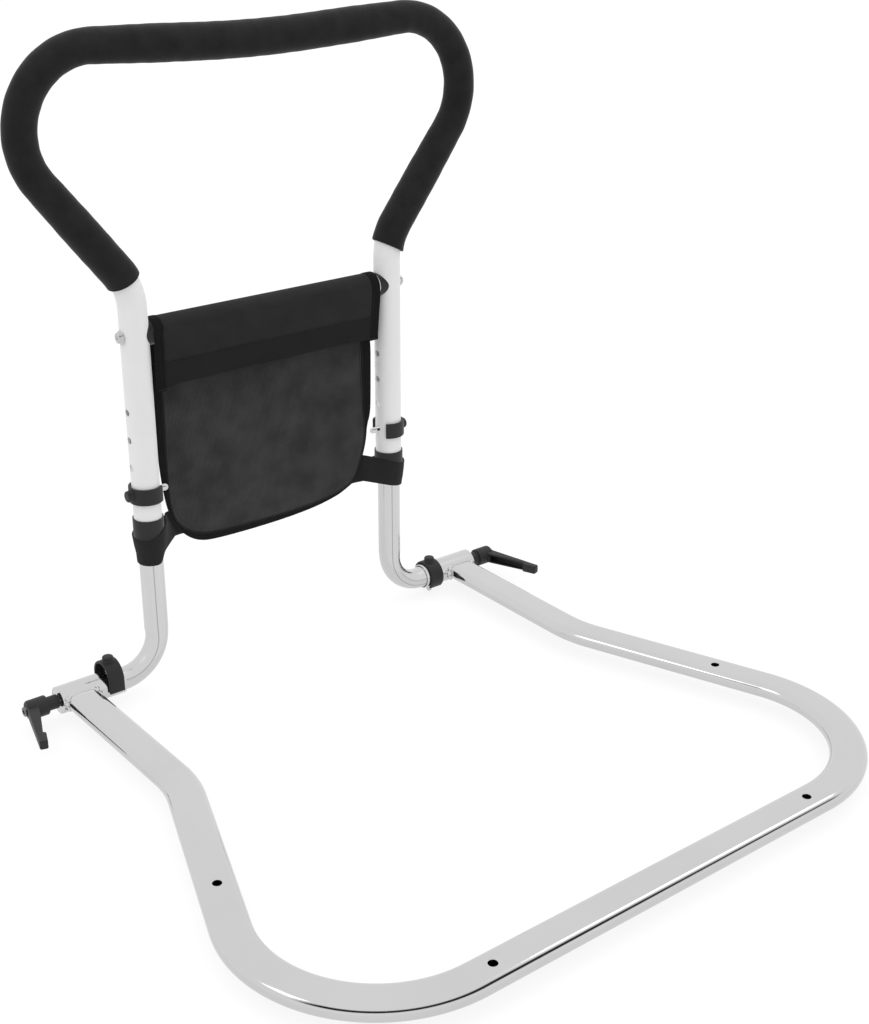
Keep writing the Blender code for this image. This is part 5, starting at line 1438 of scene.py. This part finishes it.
for label, side in SIDES.items():
    outwards = np.array([side, 0.0, 0.0])
    start = outwards * CLAMP_FROM
    neck = [(0, NECK_START), (NECK_R - NECK_EDGE, NECK_START), (NECK_R, NECK_START + NECK_EDGE)]
    hub = [(NECK_R, NECK_START + MM), (NECK_R, HUB[0]), (HUB_R, HUB[0]), (HUB_R, HUB[1]), (MM, HUB[1])]
    hub_profile = np.concatenate([neck, bent_route(hub, HUB_EASED, 0.3)[1:], [(0, HUB[1])]])
    hub_mesh = surface("clamp_lever", turned(hub_profile, start, outwards, points=64))
    lever = finished(f"clamp_lever_{label}", hub_mesh, LEVER_PLASTIC)
    root = start + outwards * LEVER_MIDDLE
    ahead = np.array([side * math.sin(LEVER_TILT), -math.cos(LEVER_TILT), 0])
    across = np.array([math.cos(LEVER_TILT), side * math.sin(LEVER_TILT), 0])
    outer_edge, inner_edge = arm_edges(arm_distances)
    shrink = np.zeros(len(arm_distances))
    shrink[-len(closing_turn) :] = 2 * LEVER_EDGE * (1 - np.cos(closing_turn))
    wide = outer_edge + inner_edge - shrink
    high = np.interp(arm_distances, (0, LEVER_ARM), ARM_HIGH) - shrink
    shift = side * (outer_edge - inner_edge) / 2
    grid = tapered(root, ahead, across, arm_distances, wide, high, shift, LEVER_EDGE)
    arm = finished("lever_arm", surface("lever_arm", grid), LEVER_PLASTIC)
    work(lever, arm, "UNION")
    outer_edge, inner_edge = arm_edges(recess_distances)
    outer_edge, inner_edge = outer_edge - RECESS_WALL, inner_edge + RECESS_PAST
    high = np.interp(recess_distances, (0, LEVER_ARM), ARM_HIGH) - 2 * RECESS_RIM
    shift = side * (outer_edge - inner_edge) / 2
    grid = tapered(root, ahead, across, recess_distances, outer_edge + inner_edge, high, shift, RECESS_EDGE)
    recess = finished("recess", surface("recess", grid), LEVER_PLASTIC)
    work(lever, recess, "DIFFERENCE")
    screw_bore = (start + outwards * (HUB[1] - 4 * MM), outwards, CLAMP_BORE_R, CLAMP_BORE_DEEP)
    insert_bore = (start + outwards * NECK_START, outwards, INSERT_R + SEATED, INSERT_BORE_DEEP)
    drill(lever, [screw_bore, insert_bore])
    lever.data.set_sharp_from_angle(angle=math.radians(38))
    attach(lever, f"lever_{label}")
    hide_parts(f"clamp_lever_{label}")
    head_start = CLAMP_FROM + CLAMP_HEAD_END - CLAMP_HEAD_HIGH
    shank = CLAMP_SCREW_R, CLAMP_FROM + CLAMP_SCREW_END
    grid = socket_head(CLAMP_HEAD_R, head_start, CLAMP_HEAD_HIGH, *shank, (0, 0, 0), outwards)
    screw = finished(f"clamp_cap_screw_{label}", surface("clamp_cap_screw", grid), DARK_STEEL, sharp=35)
    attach(screw, f"clamp_{label}")
    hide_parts(f"clamp_screw_{label}")
    stud_r = CLAMP_STUD_D / 2
    stud_profile = [
        (0, -STUD_INSIDE),
        (stud_r - STUD_EDGE, -STUD_INSIDE),
        (stud_r, STUD_EDGE - STUD_INSIDE),
        (stud_r, INSERT_START),
        (INSERT_R - INSERT_EDGE, INSERT_START),
        (INSERT_R, INSERT_START + INSERT_EDGE),
        (INSERT_R, INSERT_END),
        (INSERT_THREAD_R, INSERT_END),
        (INSERT_THREAD_R, INSERT_THREAD_END),
        (0, INSERT_THREAD_END),
    ]
    stud_mesh = surface("clamp_stud_rod", turned(stud_profile, start, outwards, points=48))
    stud = finished(f"clamp_stud_rod_{label}", stud_mesh, DARK_STEEL, sharp=35)
    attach(stud, f"clamp_{label}")
    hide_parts(f"clamp_stud_{label}")
    frame["nodes"][f"clamp_spring_{label}"].data.materials[0] = DARK_STEEL

# The bright metal mirrors the tent, the floor and its own base. The rest is screened off from it, as the
# photographer's cards do, because it would blot the chrome's even sheen.
mirrored_finishes = {CHROME, CLIP_PLASTIC, LEVER_PLASTIC, DARK_STEEL, floor_paper, screen_paper}
for piece in bpy.data.objects:
    if piece.type == "MESH" and not mirrored_finishes & set(piece.data.materials):
        piece.visible_glossy = False
